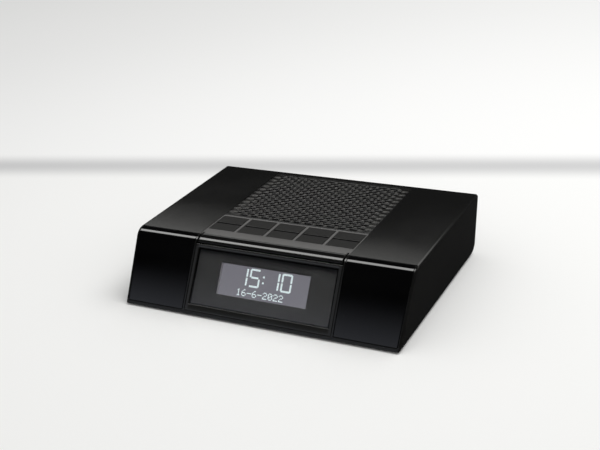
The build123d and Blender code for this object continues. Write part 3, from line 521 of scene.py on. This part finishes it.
def makePanels():
    for side, name in ((-1, "left"), (1, "right")):
        node = f"front_panel_{name}"
        low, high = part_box(node)
        inner = low.x if side > 0 else -high.x
        outer = high.x if side > 0 else -low.x
        rollEndZ = topZ - skin["rollRadius"] * (1 - math.sin(slant))

        def lean(x, s):  # the outer edge follows the side wall, which leans in towards the bottom
            z = np.where(s > 0, rollEndZ - s * math.cos(slant), topZ)
            draft = skin["sideDraft"] * np.clip((topZ - z) / (topZ - skin["draftEnd"]), 0, 1)
            return side * (x - draft * (x - inner) / (outer - inner))

        span = ((inner, outer), (topAt(high.y), slopeAt(low.z)))
        skinSlab(f"frontPanel.{name}", panels, span, panels["thickness"], finish("panel_gloss", node),
                 "housing", [node], lean=lean)


bezel = {"thickness": 1.9 * mm, "rim": 0.3, "topEdge": -0.6 * mm, "lensGap": 0.2 * mm, "windowTop": 1.5 * mm,
         "windowBottom": 35.2 * mm, "arcSteps": 40}


def makeBezel():
    low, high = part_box("display_bezel")
    glassLow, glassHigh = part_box("display_lens")
    window = ((glassLow.x - bezel["lensGap"], glassHigh.x + bezel["lensGap"]),
              (bezel["windowTop"], bezel["windowBottom"]))
    span = ((low.x, high.x), (bezel["topEdge"], slopeAt(low.z)))
    skinSlab("displayBezel", bezel, span, bezel["thickness"], finish("bezel_satin", "display_bezel"), "housing",
             ["display_bezel"], [window])


# Display

display = {"dotPitch": 0.57 * mm, "dotSize": 0.52 * mm, "columns": 100, "rows": 32, "lensTop": 1.7 * mm,
           "lensBottom": 35.0 * mm, "windowTop": 8.3 * mm, "windowBottom": 26.6 * mm, "windowHalf": 28.75 * mm,
           "glassDepth": 4.0 * mm, "glassThick": 1.6 * mm, "rim": 0.1, "printDepth": 1.9 * mm,
           "printThick": 0.1 * mm, "printRim": 0.03, "printGap": 0.1 * mm, "field": (0.192, 0.190, 0.212),
           "shade": (0.16, 0.15, 0.19), "shadeShare": 0.22, "fieldLow": 0.93, "fieldHigh": 1.3,
           "glassTints": ((0.02, 0.02, 0.022), (0.03, 0.03, 0.033)), "glassRough": 0.2,
           "dotTints": ((0.2, 0.22, 0.22), (0.3, 0.32, 0.32)), "dotRough": 0.3, "gapStep": (0.30, 0.10),
           "unevenScale": 55.0, "lit": (0.78, 0.93, 0.94), "litScale": 900.0, "litLow": 0.85, "litHigh": 1.12,
           "dotFoot": 0.02 * mm, "dotHead": 0.03 * mm}


# Backlit field: unlit dots a little darker than the lines between them, and slow unevenness of the backlight.
def litDisplay(name):
    material, tree, shader, place = startMaterial(name)
    level = addNode(tree, "ShaderNodeMapping", {"Vector": place, "Rotation": (slant - math.pi / 2, 0, 0)})
    turn = math.pi / display["dotPitch"]
    waves = [calc(tree, "ABSOLUTE", calc(tree, "SINE", calc(tree, "MULTIPLY", way, turn)))
             for way in splitAxes(tree, level.outputs[0])[:2]]
    gap = fade(tree, calc(tree, "MINIMUM", *waves), *display["gapStep"])
    uneven = noise(tree, place, display["unevenScale"])
    field = blendColour(tree, gap, *scaled(display["field"], display["fieldLow"], display["fieldHigh"]))
    share = fade(tree, uneven, *marks["flowStep"], 0.0, display["shadeShare"])
    field = blendColour(tree, share, field, display["shade"])
    feed(tree, shader, {"Base Color": blendColour(tree, gap, *display["glassTints"]), "Emission Color": field,
                        "Emission Strength": 1.0, "Roughness": display["glassRough"]})
    return material


# Glowing dots, a few percent brighter and dimmer from dot to dot.
def litDots(name):
    material, tree, shader, place = startMaterial(name)
    uneven = noise(tree, place, display["litScale"])
    colour = blendColour(tree, uneven, *scaled(display["lit"], display["litLow"], display["litHigh"]))
    feed(tree, shader, {"Base Color": blendColour(tree, uneven, *display["dotTints"]), "Emission Color": colour,
                        "Emission Strength": 1.0, "Roughness": display["dotRough"]})
    return material


smallFigures = {  # five columns by seven rows
    "0": ("01110", "10001", "10011", "10101", "11001", "10001", "01110"),
    "1": ("00100", "01100", "00100", "00100", "00100", "00100", "01110"),
    "2": ("01110", "10001", "00001", "00110", "01000", "10000", "11111"),
    "6": ("00110", "01000", "10000", "11110", "10001", "10001", "01110"),
    "-": ("00000", "00000", "00000", "11111", "00000", "00000", "00000"),
}
largeFigures = {"1": "bc", "5": "afgcd", "0": "abcdef"}  # strokes: a top, then clockwise to f, g in the middle


# Figure of 19 by 12 dots with strokes two dots wide, each stroke a dot short of its neighbours.
def largeFigure(strokes):
    dots = np.zeros((19, 12), bool)
    spans = {"a": ((0, 2), (1, 11)), "g": ((9, 10), (2, 10)), "d": ((17, 19), (1, 11)),
             "f": ((1, 9), (0, 2)), "b": ((1, 9), (10, 12)), "e": ((10, 18), (0, 2)), "c": ((10, 18), (10, 12))}
    for stroke in strokes:
        (r0, r1), (c0, c1) = spans[stroke]
        dots[r0:r1, c0:c1] = True
    if "g" in strokes:
        dots[8:10, 2:10] = True
    return dots


# The dots that are lit: the time in large figures and the date below it.
def readout():
    dots = np.zeros((display["rows"], display["columns"]), bool)
    for figure, column in (("1", 18), ("5", 32), ("1", 54), ("0", 68)):
        dots[1:20, column:column + 12] |= largeFigure(largeFigures[figure])
    for row in (7, 13):  # the colon
        dots[row:row + 2, 47:49] = True
    for place, figure in enumerate("16-6-2022"):
        glyph = np.array([[c == "1" for c in line] for line in smallFigures[figure]])
        column = 20 + 6 * place
        dots[23:30, column:column + 5] |= glyph
    return dots


# A closed box of six faces at each centre, all in one array.
def boxesOn(centresX, centresS, size, nLow, nHigh):
    count = len(centresX)
    corner = np.array([(-1, -1), (1, -1), (1, 1), (-1, 1)]) * size / 2
    x = centresX[:, None] + corner[:, 0]
    s = centresS[:, None] + corner[:, 1]
    points = np.concatenate([skinPoints(x, s, nLow), skinPoints(x, s, nHigh)], axis=1)
    box = np.array([(0, 1, 2, 3), (7, 6, 5, 4), (0, 4, 5, 1), (1, 5, 6, 2), (2, 6, 7, 3), (3, 7, 4, 0)])
    return points, (box[None] + 8 * np.arange(count)[:, None, None]).reshape(-1, 4)


def makeDisplay():
    low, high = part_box("display_lens")
    span = ((low.x, high.x), (display["lensTop"], display["lensBottom"]))
    glass = skinSlab("displayWindow", lens, span, lens["thickness"], finish("lens_clear"), "housing",
                     ["display_lens"], lift=-lens["recess"])
    glass.visible_shadow = False  # light reaches the printed surround behind it
    halfWindow, gap = display["windowHalf"] + display["printGap"], display["printGap"]
    window = ((-halfWindow, halfWindow), (display["windowTop"] - gap, display["windowBottom"] + gap))
    skinSlab("printedSurround", {"rim": display["printRim"]}, span, display["printThick"], finish("mask_print"),
             "housing", ["lens_mask"], [window], lift=-display["printDepth"])
    cellLow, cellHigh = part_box("lcd_cell")
    border = cellHigh.x - display["windowHalf"]
    cell = ((cellLow.x, cellHigh.x), (display["windowTop"] - border, display["windowBottom"] + border))
    depth = -display["glassDepth"]
    skinSlab("matrixCell", display, cell, display["glassThick"], finish("lcd_glass"), "housing",
             ["lcd_cell"], lift=depth)
    rows, columns = np.nonzero(readout())
    x = (columns - (display["columns"] - 1) / 2) * display["dotPitch"]
    middle = (display["windowTop"] + display["windowBottom"]) / 2
    s = middle + (rows - (display["rows"] - 1) / 2) * display["dotPitch"]
    foot, head = depth - display["dotFoot"], depth + display["dotHead"]
    points, faces = boxesOn(x, s, display["dotSize"], foot, head)
    addPiece("litDots", points, faces, litDots("litDots"), "housing")


# Keys, key frame and snooze bar

snooze = {"thickness": 1.7 * mm, "rim": 0.45, "upperEdge": 0.4 * mm, "lowerEdge": -1.4 * mm, "steps": 12,
          "arcSteps": 48}
keys = {"flange": 0.6 * mm, "rim": 0.35, "skirt": 3.0 * mm, "drop": 0.1 * mm, "steps": 9,
        "sideGap": 0.25 * mm}
keyFrame = {"thickness": 1.9 * mm, "rim": 0.3, "notchWidth": 1.2 * mm, "notchDepth": 2.1 * mm,
            "border": 0.6 * mm}


def makeSnoozeBar():
    low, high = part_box("snooze_bar")
    span = ((low.x, high.x), (topAt(rollStart + snooze["upperEdge"]), snooze["lowerEdge"]))
    skinSlab("snoozeBar", snooze, span, snooze["thickness"], finish("bar_gloss", "snooze_bar"), "snooze_bar",
             ["snooze_bar"])


# Outline of a key's cap: the node's box less its flanges, which run under the frame on three sides.
def capSpan(node, row):
    low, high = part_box(node)
    near = low.y + (keys["flange"] if row == "front" else 0)
    far = high.y - (keys["flange"] if row == "rear" else 0)
    return (low.x + keys["flange"], high.x - keys["flange"]), (near, far)


def makeKeys():
    for row in ("front", "rear"):
        for column in range(1, 6):
            node = f"key_{row}_{column}"
            xs, (near, far) = capSpan(node, row)
            skinSlab(f"keyCap.{row}.{column}", keys, (xs, (topAt(far), topAt(near))),
                     keys["skirt"] - keys["drop"], finish("key_satin", node), node, [node],
                     lift=-keys["drop"])


def makeKeyFrame():
    low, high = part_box("key_frame")
    windows = []
    for column in range(1, 6):
        xs, (near, _) = capSpan(f"key_front_{column}", "front")
        _, (_, far) = capSpan(f"key_rear_{column}", "rear")
        gap = keys["sideGap"]
        windows.append(((xs[0] - gap, xs[1] + gap), (topAt(far + gap), topAt(near - gap))))
    edge = high.x - keyFrame["border"]
    front = topAt(low.y)
    for xs in ((edge - keyFrame["notchWidth"], edge), (-edge, -edge + keyFrame["notchWidth"])):
        windows.append((xs, (front - keyFrame["notchDepth"], front + past)))
    skinSlab("keyFrame", keyFrame, ((low.x, high.x), (topAt(high.y), front)), keyFrame["thickness"],
             finish("frame_satin", "key_frame"), "housing", ["key_frame"], windows)


# Speaker grille

grille = {"slotLength": 5.2 * mm, "slotWidth": 1.25 * mm, "pitch": 7.33 * mm, "rowPitch": 2.73 * mm, "rows": 25,
          "rim": 0.36 * mm, "thickness": 1.9 * mm, "wide": 6, "narrow": 5, "webDrop": 0.55 * mm,
          "webReach": 1.5 * mm, "plainSide": 2.2 * mm, "plainEnd": 1.2 * mm, "plainShare": 0.3,
          "plateRim": 0.3 * mm}


# Relief of the slotted field: web = (1 - d^2)^2, with d the distance to the nearest web between two slots of a
# row over the web's reach, and room, which fades to 0 over the plain border.
def webField(x, y, half):
    rowPitch, pitch = grille["rowPitch"], grille["pitch"]
    web = np.zeros_like(x)
    for row in (np.floor(y / rowPitch), np.floor(y / rowPitch) + 1):
        shift = np.where(row % 2 == 0, pitch / 2, 0)
        dx = (x - shift + pitch / 2) % pitch - pitch / 2
        dy = y - row * rowPitch
        d = (dx * dx + dy * dy) / grille["webReach"] ** 2
        web = np.maximum(web, np.clip(1 - d, 0, 1) ** 2)
    room = np.minimum((half[0] - np.abs(x)) / grille["plainSide"], (half[1] - np.abs(y)) / grille["plainEnd"])
    room = np.clip(room - grille["plainShare"], 0, 1)
    return web, room * room * (3 - 2 * room)


# Sixteen points round a slot and sixteen round its cell, in step, both anticlockwise from one corner.
def slotCell():
    half, width = grille["slotLength"] / 2, grille["slotWidth"] / 2
    straight = half - width
    across = np.linspace(straight, -straight, 5)
    turn = np.radians([135, 180, 225])
    left = np.stack([-straight + width * np.cos(turn), width * np.sin(turn)], 1)
    top = np.stack([across, np.full(5, width)], 1)
    slot = np.concatenate([top, left, -top, -left])
    outward = np.concatenate([np.tile((0.0, 1.0), (5, 1)), np.stack([np.cos(turn), np.sin(turn)], 1),
                              np.tile((0.0, -1.0), (5, 1)), -np.stack([np.cos(turn), np.sin(turn)], 1)])
    px, py = grille["pitch"] / 2, grille["rowPitch"] / 2
    topEdge = np.stack([np.linspace(px, -px, 5), np.full(5, py)], 1)
    leftEdge = np.stack([np.full(3, -px), [py / 2, 0, -py / 2]], 1)
    return slot, outward, np.concatenate([topEdge, leftEdge, -topEdge, -leftEdge])


# Each slot is rings of one outline: the wall, a quarter-round rim, and out to its cell. Plain strips close the
# plate around the cells, and a second layer underneath closes its back.
def makeGrille():
    low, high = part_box("speaker_grille")
    top = high.z
    middleY = (low.y + high.y) / 2
    slot, outward, cell = slotCell()
    centres = []
    for row in range(grille["rows"]):
        y = middleY + (row - (grille["rows"] - 1) / 2) * grille["rowPitch"]
        if row % 2 == 0:
            xs = np.arange(-grille["narrow"], grille["narrow"] + 1) * grille["pitch"]
        else:
            xs = (np.arange(-grille["wide"], grille["wide"]) + 0.5) * grille["pitch"]
        centres.append(np.stack([xs, np.full(len(xs), y)], 1))
    centres = np.concatenate(centres)
    rim, thick = grille["rim"], grille["thickness"]
    rings = [(slot, -thick)]
    for turn in np.linspace(0, math.pi / 2, 4):
        rings.append((slot + outward * rim * (1 - math.cos(turn)), -rim * (1 - math.sin(turn))))
    rings += [(cell, 0.0), (cell, -thick)]
    flat = np.stack([np.column_stack([ring, np.full(16, height)]) for ring, height in rings])
    ringCount = len(rings)
    points = flat[None] + np.array([0, 0, top]) + np.pad(centres, ((0, 0), (0, 1)))[:, None, None, :]
    faces = []
    around = np.arange(16)
    after = (around + 1) % 16
    for start in range(0, 16 * (ringCount - 2), 16):
        faces.append(np.stack([start + around, start + after, start + 16 + after, start + 16 + around], 1))
    last = (ringCount - 1) * 16
    faces.append(np.stack([around, last + around, last + after, after], 1))
    faces = np.concatenate(faces)
    faces = (faces[None] + (16 * ringCount) * np.arange(len(centres))[:, None, None]).reshape(-1, 4)
    points = points.reshape(-1, 3)

    def strip(xs, ys, z, flip):  # flat grid between two lists of lines
        nonlocal points, faces
        gx, gy = np.meshgrid(xs, ys)
        more = gridFaces(len(ys), len(xs), len(points))
        points = np.concatenate([points, np.stack([gx, gy, np.full(gx.shape, z)], -1).reshape(-1, 3)])
        faces = np.concatenate([faces, more[:, ::-1] if flip else more])

    quarter = grille["pitch"] / 4
    plateRim = grille["plateRim"]
    half = (high.x, (high.y - low.y) / 2)
    insideX, insideY = half[0] - plateRim, half[1] - plateRim
    narrowEdge = (grille["narrow"] + 0.5) * grille["pitch"]
    wideEdge = grille["wide"] * grille["pitch"]
    cellsX = np.arange(-4 * grille["narrow"] - 2, 4 * grille["narrow"] + 3) * quarter
    allX = np.concatenate([[-insideX, -wideEdge, -narrowEdge - quarter], cellsX,
                           [narrowEdge + quarter, wideEdge, insideX]])
    blockY = grille["rows"] / 2 * grille["rowPitch"]
    rowSteps = np.linspace(-0.5, 0.5, 5) * grille["rowPitch"]
    for z, flip in ((top, False), (top - thick, True)):
        strip(allX, middleY + np.array([-insideY, -blockY]), z, flip)
        strip(allX, middleY + np.array([blockY, insideY]), z, flip)
        for row in range(grille["rows"]):
            y = middleY + (row - (grille["rows"] - 1) / 2) * grille["rowPitch"] + rowSteps
            edgeX = [wideEdge, insideX]
            if row % 2 == 0:
                edgeX = [narrowEdge, narrowEdge + quarter, *edgeX]
            strip(edgeX, y, z, flip)
            strip([-v for v in edgeX[::-1]], y, z, flip)
    # the plate's own rim: rings of the outline, from the face round the edge and down to the back
    rowsY = (np.arange(grille["rows"] * 4 + 1) / 4 - grille["rows"] / 2) * grille["rowPitch"]
    sideY = np.concatenate([[-insideY], rowsY, [insideY]])
    outline = np.concatenate([np.column_stack([allX, np.full(len(allX), -insideY)]),
                              np.column_stack([np.full(len(sideY), insideX), sideY])[1:],
                              np.column_stack([allX[::-1], np.full(len(allX), insideY)])[1:],
                              np.column_stack([np.full(len(sideY), -insideX), sideY[::-1]])[1:-1]])
    push = np.stack([np.where(np.abs(outline[:, 0]) >= insideX - 1e-9, np.sign(outline[:, 0]), 0),
                     np.where(np.abs(outline[:, 1]) >= insideY - 1e-9, np.sign(outline[:, 1]), 0)], 1)
    levels = [(plateRim * math.sin(t), -plateRim * (1 - math.cos(t))) for t in np.linspace(0, math.pi / 2, 4)]
    levels += [(plateRim, -thick), (0.0, -thick)]
    loops = np.stack([np.column_stack([outline + push * out + (0, middleY), np.full(len(outline), top + z)])
                      for out, z in levels])
    count = len(outline)
    base = len(points)
    points = np.concatenate([points, loops.reshape(-1, 3)])
    along = np.arange(count)
    ahead = (along + 1) % count
    for level in range(len(levels) - 1):
        a, b = base + level * count, base + (level + 1) * count
        faces = np.concatenate([faces, np.stack([a + along, a + ahead, b + ahead, b + along], 1)])
    face = points[:, 2] > top - thick / 2
    web, room = webField(points[face, 0], points[face, 1] - middleY, half)
    points[face, 2] -= grille["webDrop"] * (1 - web) * room
    # painted highlight: the web tops get the lighter tint for their glints
    paintedGlint = np.zeros(len(points))
    paintedGlint[face] = web * room
    addPiece("speakerGrille", points, faces, finish("grille_satin", "speaker_grille"), "housing",
             ["speaker_grille"], sharp=50.0, paintedGlint=paintedGlint)


# Feet

feet = {"radius": 6.5 * mm, "chamfer": 0.45 * mm, "grooveRadius": 4.6 * mm, "grooveHalf": 0.5 * mm,
        "grooveDepth": 0.25 * mm, "topChamfer": 0.1 * mm, "sides": 48}


# A profile of (radius, z) carried round an upright axis.
def turnedPoints(centre, profile, sides):
    angle = np.linspace(0, 2 * math.pi, sides, endpoint=False)[:, None]
    radius, z = np.array(profile).T
    return np.stack([centre[0] + radius * np.cos(angle), centre[1] + radius * np.sin(angle),
                     np.broadcast_to(z, (sides, len(z)))], axis=-1)


def makeFeet():
    low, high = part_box("feet")
    radius, c, g = feet["radius"], feet["chamfer"], feet["grooveRadius"]
    bend = [(radius - c + c * math.sin(t), low.z + c - c * math.cos(t)) for t in np.linspace(0, math.pi / 2, 6)]
    groove = [(g - feet["grooveHalf"] * math.cos(t), low.z + feet["grooveDepth"] * math.sin(t))
              for t in np.linspace(0, math.pi, 7)]
    blunt = feet["topChamfer"]
    profile = [(0.0, low.z), (g * 0.5, low.z), *groove, *bend, (radius, high.z - blunt),
               (radius - blunt, high.z), (0.0, high.z)]
    points, faces, sides = [], [], feet["sides"]
    for x in (low.x + radius, high.x - radius):
        for y in (low.y + radius, high.y - radius):
            start = sum(len(p) for p in points)
            points.append(turnedPoints((x, y), profile, sides).reshape(-1, 3))
            j = np.arange(len(profile) - 1)
            i = np.arange(sides)[:, None]
            a, b = start + i * len(profile) + j, start + (i + 1) % sides * len(profile) + j
            faces.append(np.stack([a, b, b + 1, a + 1], -1).reshape(-1, 4))
    addPiece("feetPads", np.concatenate(points), np.concatenate(faces), finish("foot_rubber"), "housing",
             ["feet"])


# Make everything


for subpart in frame["record"]["subparts"]:
    node = frame["nodes"][subpart["node"]]
    node.data.materials.clear()
    node.data.materials.append(finish(subpart["material_slot"], subpart["node"]))
print("materials on the packed nodes:", len(materials))

makePanels()
makeBezel()
makeDisplay()
print("front made")
makeSnoozeBar()
makeKeys()
makeKeyFrame()
print("keys and bar made")
makeGrille()
makeFeet()
print("grille and feet made")

# Studio

camera = {"azimuthDeg": 27.446, "elevationDeg": 23.744, "rollDeg": -4.03, "distance": 0.64123,
          "right": -0.002225, "up": 0.013835, "lens": 62.64, "sensor": 36.0, "nearest": 0.01}


def makeCamera():
    az, el, roll = (math.radians(camera[k]) for k in ("azimuthDeg", "elevationDeg", "rollDeg"))
    back = Vector((math.sin(az) * math.cos(el), -math.cos(az) * math.cos(el), math.sin(el)))
    level = Vector((math.cos(az), math.sin(az), 0))
    upright = back.cross(level)
    right = level * math.cos(roll) + upright * math.sin(roll)
    up = back.cross(right)
    aim = Vector((0, 0, (cadBox[0].z + cadBox[1].z) / 2))
    place = aim + back * camera["distance"] + right * camera["right"] + up * camera["up"]
    data = bpy.data.cameras.new("camera")
    data.lens = camera["lens"]
    data.sensor_width = camera["sensor"]
    data.clip_start = camera["nearest"]
    viewer = bpy.data.objects.new("camera", data)
    viewer.matrix_world = Matrix.Translation(place) @ Matrix((right, up, back)).transposed().to_4x4()
    bpy.context.scene.collection.objects.link(viewer)
    bpy.context.scene.camera = viewer


floor = {"half": 4.0, "near": (0.89, 0.89, 0.875), "far": (0.90, 0.90, 0.89), "junctionShade": (0.60, 0.60, 0.60),
         "bandTurnDeg": 16.05, "bandAt": 0.193, "bandHalf": 0.030, "dim": 0.90,
         "mirrored": (0.025, 0.025, 0.025), "farStep": 0.02, "dimFrom": 0.10, "dimTo": 0.75}


# Pale floor with a soft band of painted shade where it meets the backdrop, darkened away from the middle by a
# painted falloff of light. Shiny things see a dimmer floor than the camera does.
def makeFloor():
    half = floor["half"]
    mesh = bpy.data.meshes.new("floor")
    line = np.linspace(-half, half, 9)
    gx, gy = np.meshgrid(line, line)
    points = np.stack([gx, gy, np.zeros_like(gx)], -1).reshape(-1, 3)
    mesh.from_pydata(points.tolist(), [], gridFaces(9, 9)[:, ::-1].tolist())
    material, tree, shader, place = startMaterial("paleFloor")
    turn = math.radians(floor["bandTurnDeg"])
    away = vectorCalc(tree, "DOT_PRODUCT", place, (-math.sin(turn), math.cos(turn), 0))["Value"]
    off = calc(tree, "ABSOLUTE", calc(tree, "SUBTRACT", away, floor["bandAt"]))
    behind = fade(tree, away, floor["bandAt"], floor["bandAt"] + floor["farStep"])
    colour = blendColour(tree, behind, floor["near"], floor["far"])
    colour = blendColour(tree, fade(tree, off, floor["bandHalf"], 0.0), colour, floor["junctionShade"])
    # painted falloff of light: the floor darkens away from the middle
    radius = vectorCalc(tree, "LENGTH", place)["Value"]
    lightFalloff = fade(tree, radius, floor["dimFrom"], floor["dimTo"], 1.0, floor["dim"])
    dim = addNode(tree, "ShaderNodeMix", {"Factor": 1.0, 6: colour, 7: lightFalloff}, data_type="RGBA",
                  blend_type="MULTIPLY")
    rays = addNode(tree, "ShaderNodeLightPath")
    colour = blendColour(tree, rays.outputs["Is Glossy Ray"], dim.outputs[2], floor["mirrored"])
    feed(tree, shader, {"Base Color": colour, "Roughness": 1.0, "Specular IOR Level": 0.0})
    mesh.materials.append(material)
    plane = bpy.data.objects.new("floor", mesh)
    bpy.context.scene.collection.objects.link(plane)


lamp = {"at": (0.42, 0.60, 1.25), "size": 0.9, "watts": 10.5}


# One large soft lamp, which only gives the shadow its direction.
def makeLamp():
    data = bpy.data.lights.new("lamp", "AREA")
    data.size = lamp["size"]
    data.energy = lamp["watts"]
    light = bpy.data.objects.new("lamp", data)
    place = Vector(lamp["at"])
    light.matrix_world = Matrix.Translation(place) @ place.to_track_quat("Z", "Y").to_matrix().to_4x4()
    light.visible_glossy = False
    bpy.context.scene.collection.objects.link(light)


# Cards that only shiny surfaces see. Each is a sheet about a middle point, spanned by two edges, and glows from
# clear to full between two shares of the way along its second edge.
cards = {
    "overheadCard": {"at": (-0.5, -0.02, 1.1), "edges": ((1.7, 0, 0), (0, 0.36, 0.02)), "clear": -0.02,
                     "full": 0.08, "glow": (7.0, 7.0, 6.9)},
    "frontCard": {"at": (-0.85, -1.5, 0.66), "edges": ((1.5, 0, 0), (0, 0, -0.70)), "clear": 0.03, "full": 0.27,
                  "glow": (0.60, 0.63, 0.72)},
    "rearCard": {"at": (-0.10, 0.24, 0.20), "edges": ((1.6, 0, 0), (0, 0, 0.08)), "clear": 0.10, "full": 0.70,
                 "glow": (1.6, 1.6, 1.56)},
}


def makeCards():
    for name, look in cards.items():
        middle, first, second = (np.array(v, float) for v in (look["at"], *look["edges"]))
        signs = ((-0.5, -0.5), (0.5, -0.5), (0.5, 0.5), (-0.5, 0.5))
        corners = [middle + first * a + second * b for a, b in signs]
        mesh = bpy.data.meshes.new(name)
        mesh.from_pydata([tuple(corner) for corner in corners], [], [(0, 1, 2, 3)])
        material = bpy.data.materials.new(name)
        material.use_nodes = True
        tree = material.node_tree
        tree.nodes.clear()
        place = addNode(tree, "ShaderNodeTexCoord").outputs["Object"]
        away = vectorCalc(tree, "SUBTRACT", place, tuple(corners[0]))[0]
        along = vectorCalc(tree, "DOT_PRODUCT", away, tuple(second / (second @ second)))["Value"]
        share = fade(tree, along, look["clear"], look["full"])
        glow = addNode(tree, "ShaderNodeEmission", {"Color": (*look["glow"], 1.0), "Strength": share})
        output = addNode(tree, "ShaderNodeOutputMaterial")
        tree.links.new(glow.outputs[0], output.inputs["Surface"])
        mesh.materials.append(material)
        card = bpy.data.objects.new(name, mesh)
        card.visible_camera = card.visible_diffuse = card.visible_shadow = card.visible_transmission = False
        bpy.context.scene.collection.objects.link(card)


room = {"seen": (0.80, 0.80, 0.79), "mirrored": (0.015, 0.015, 0.016), "ambient": (0.66, 0.66, 0.66)}


# The camera sees a pale room, shiny surfaces a dark one, and everything else soft ambient light.
def makeRoom():
    world = bpy.data.worlds.new("room")
    world.use_nodes = True
    tree = world.node_tree
    rays = addNode(tree, "ShaderNodeLightPath").outputs
    colour = blendColour(tree, rays["Is Glossy Ray"], room["ambient"], room["mirrored"])
    colour = blendColour(tree, rays["Is Camera Ray"], colour, room["seen"])
    tree.links.new(colour, tree.nodes["Background"].inputs["Color"])
    bpy.context.scene.world = world


makeCamera()
makeFloor()
makeLamp()
makeCards()
makeRoom()
bpy.context.scene.view_settings.view_transform = "Standard"
print("studio made")
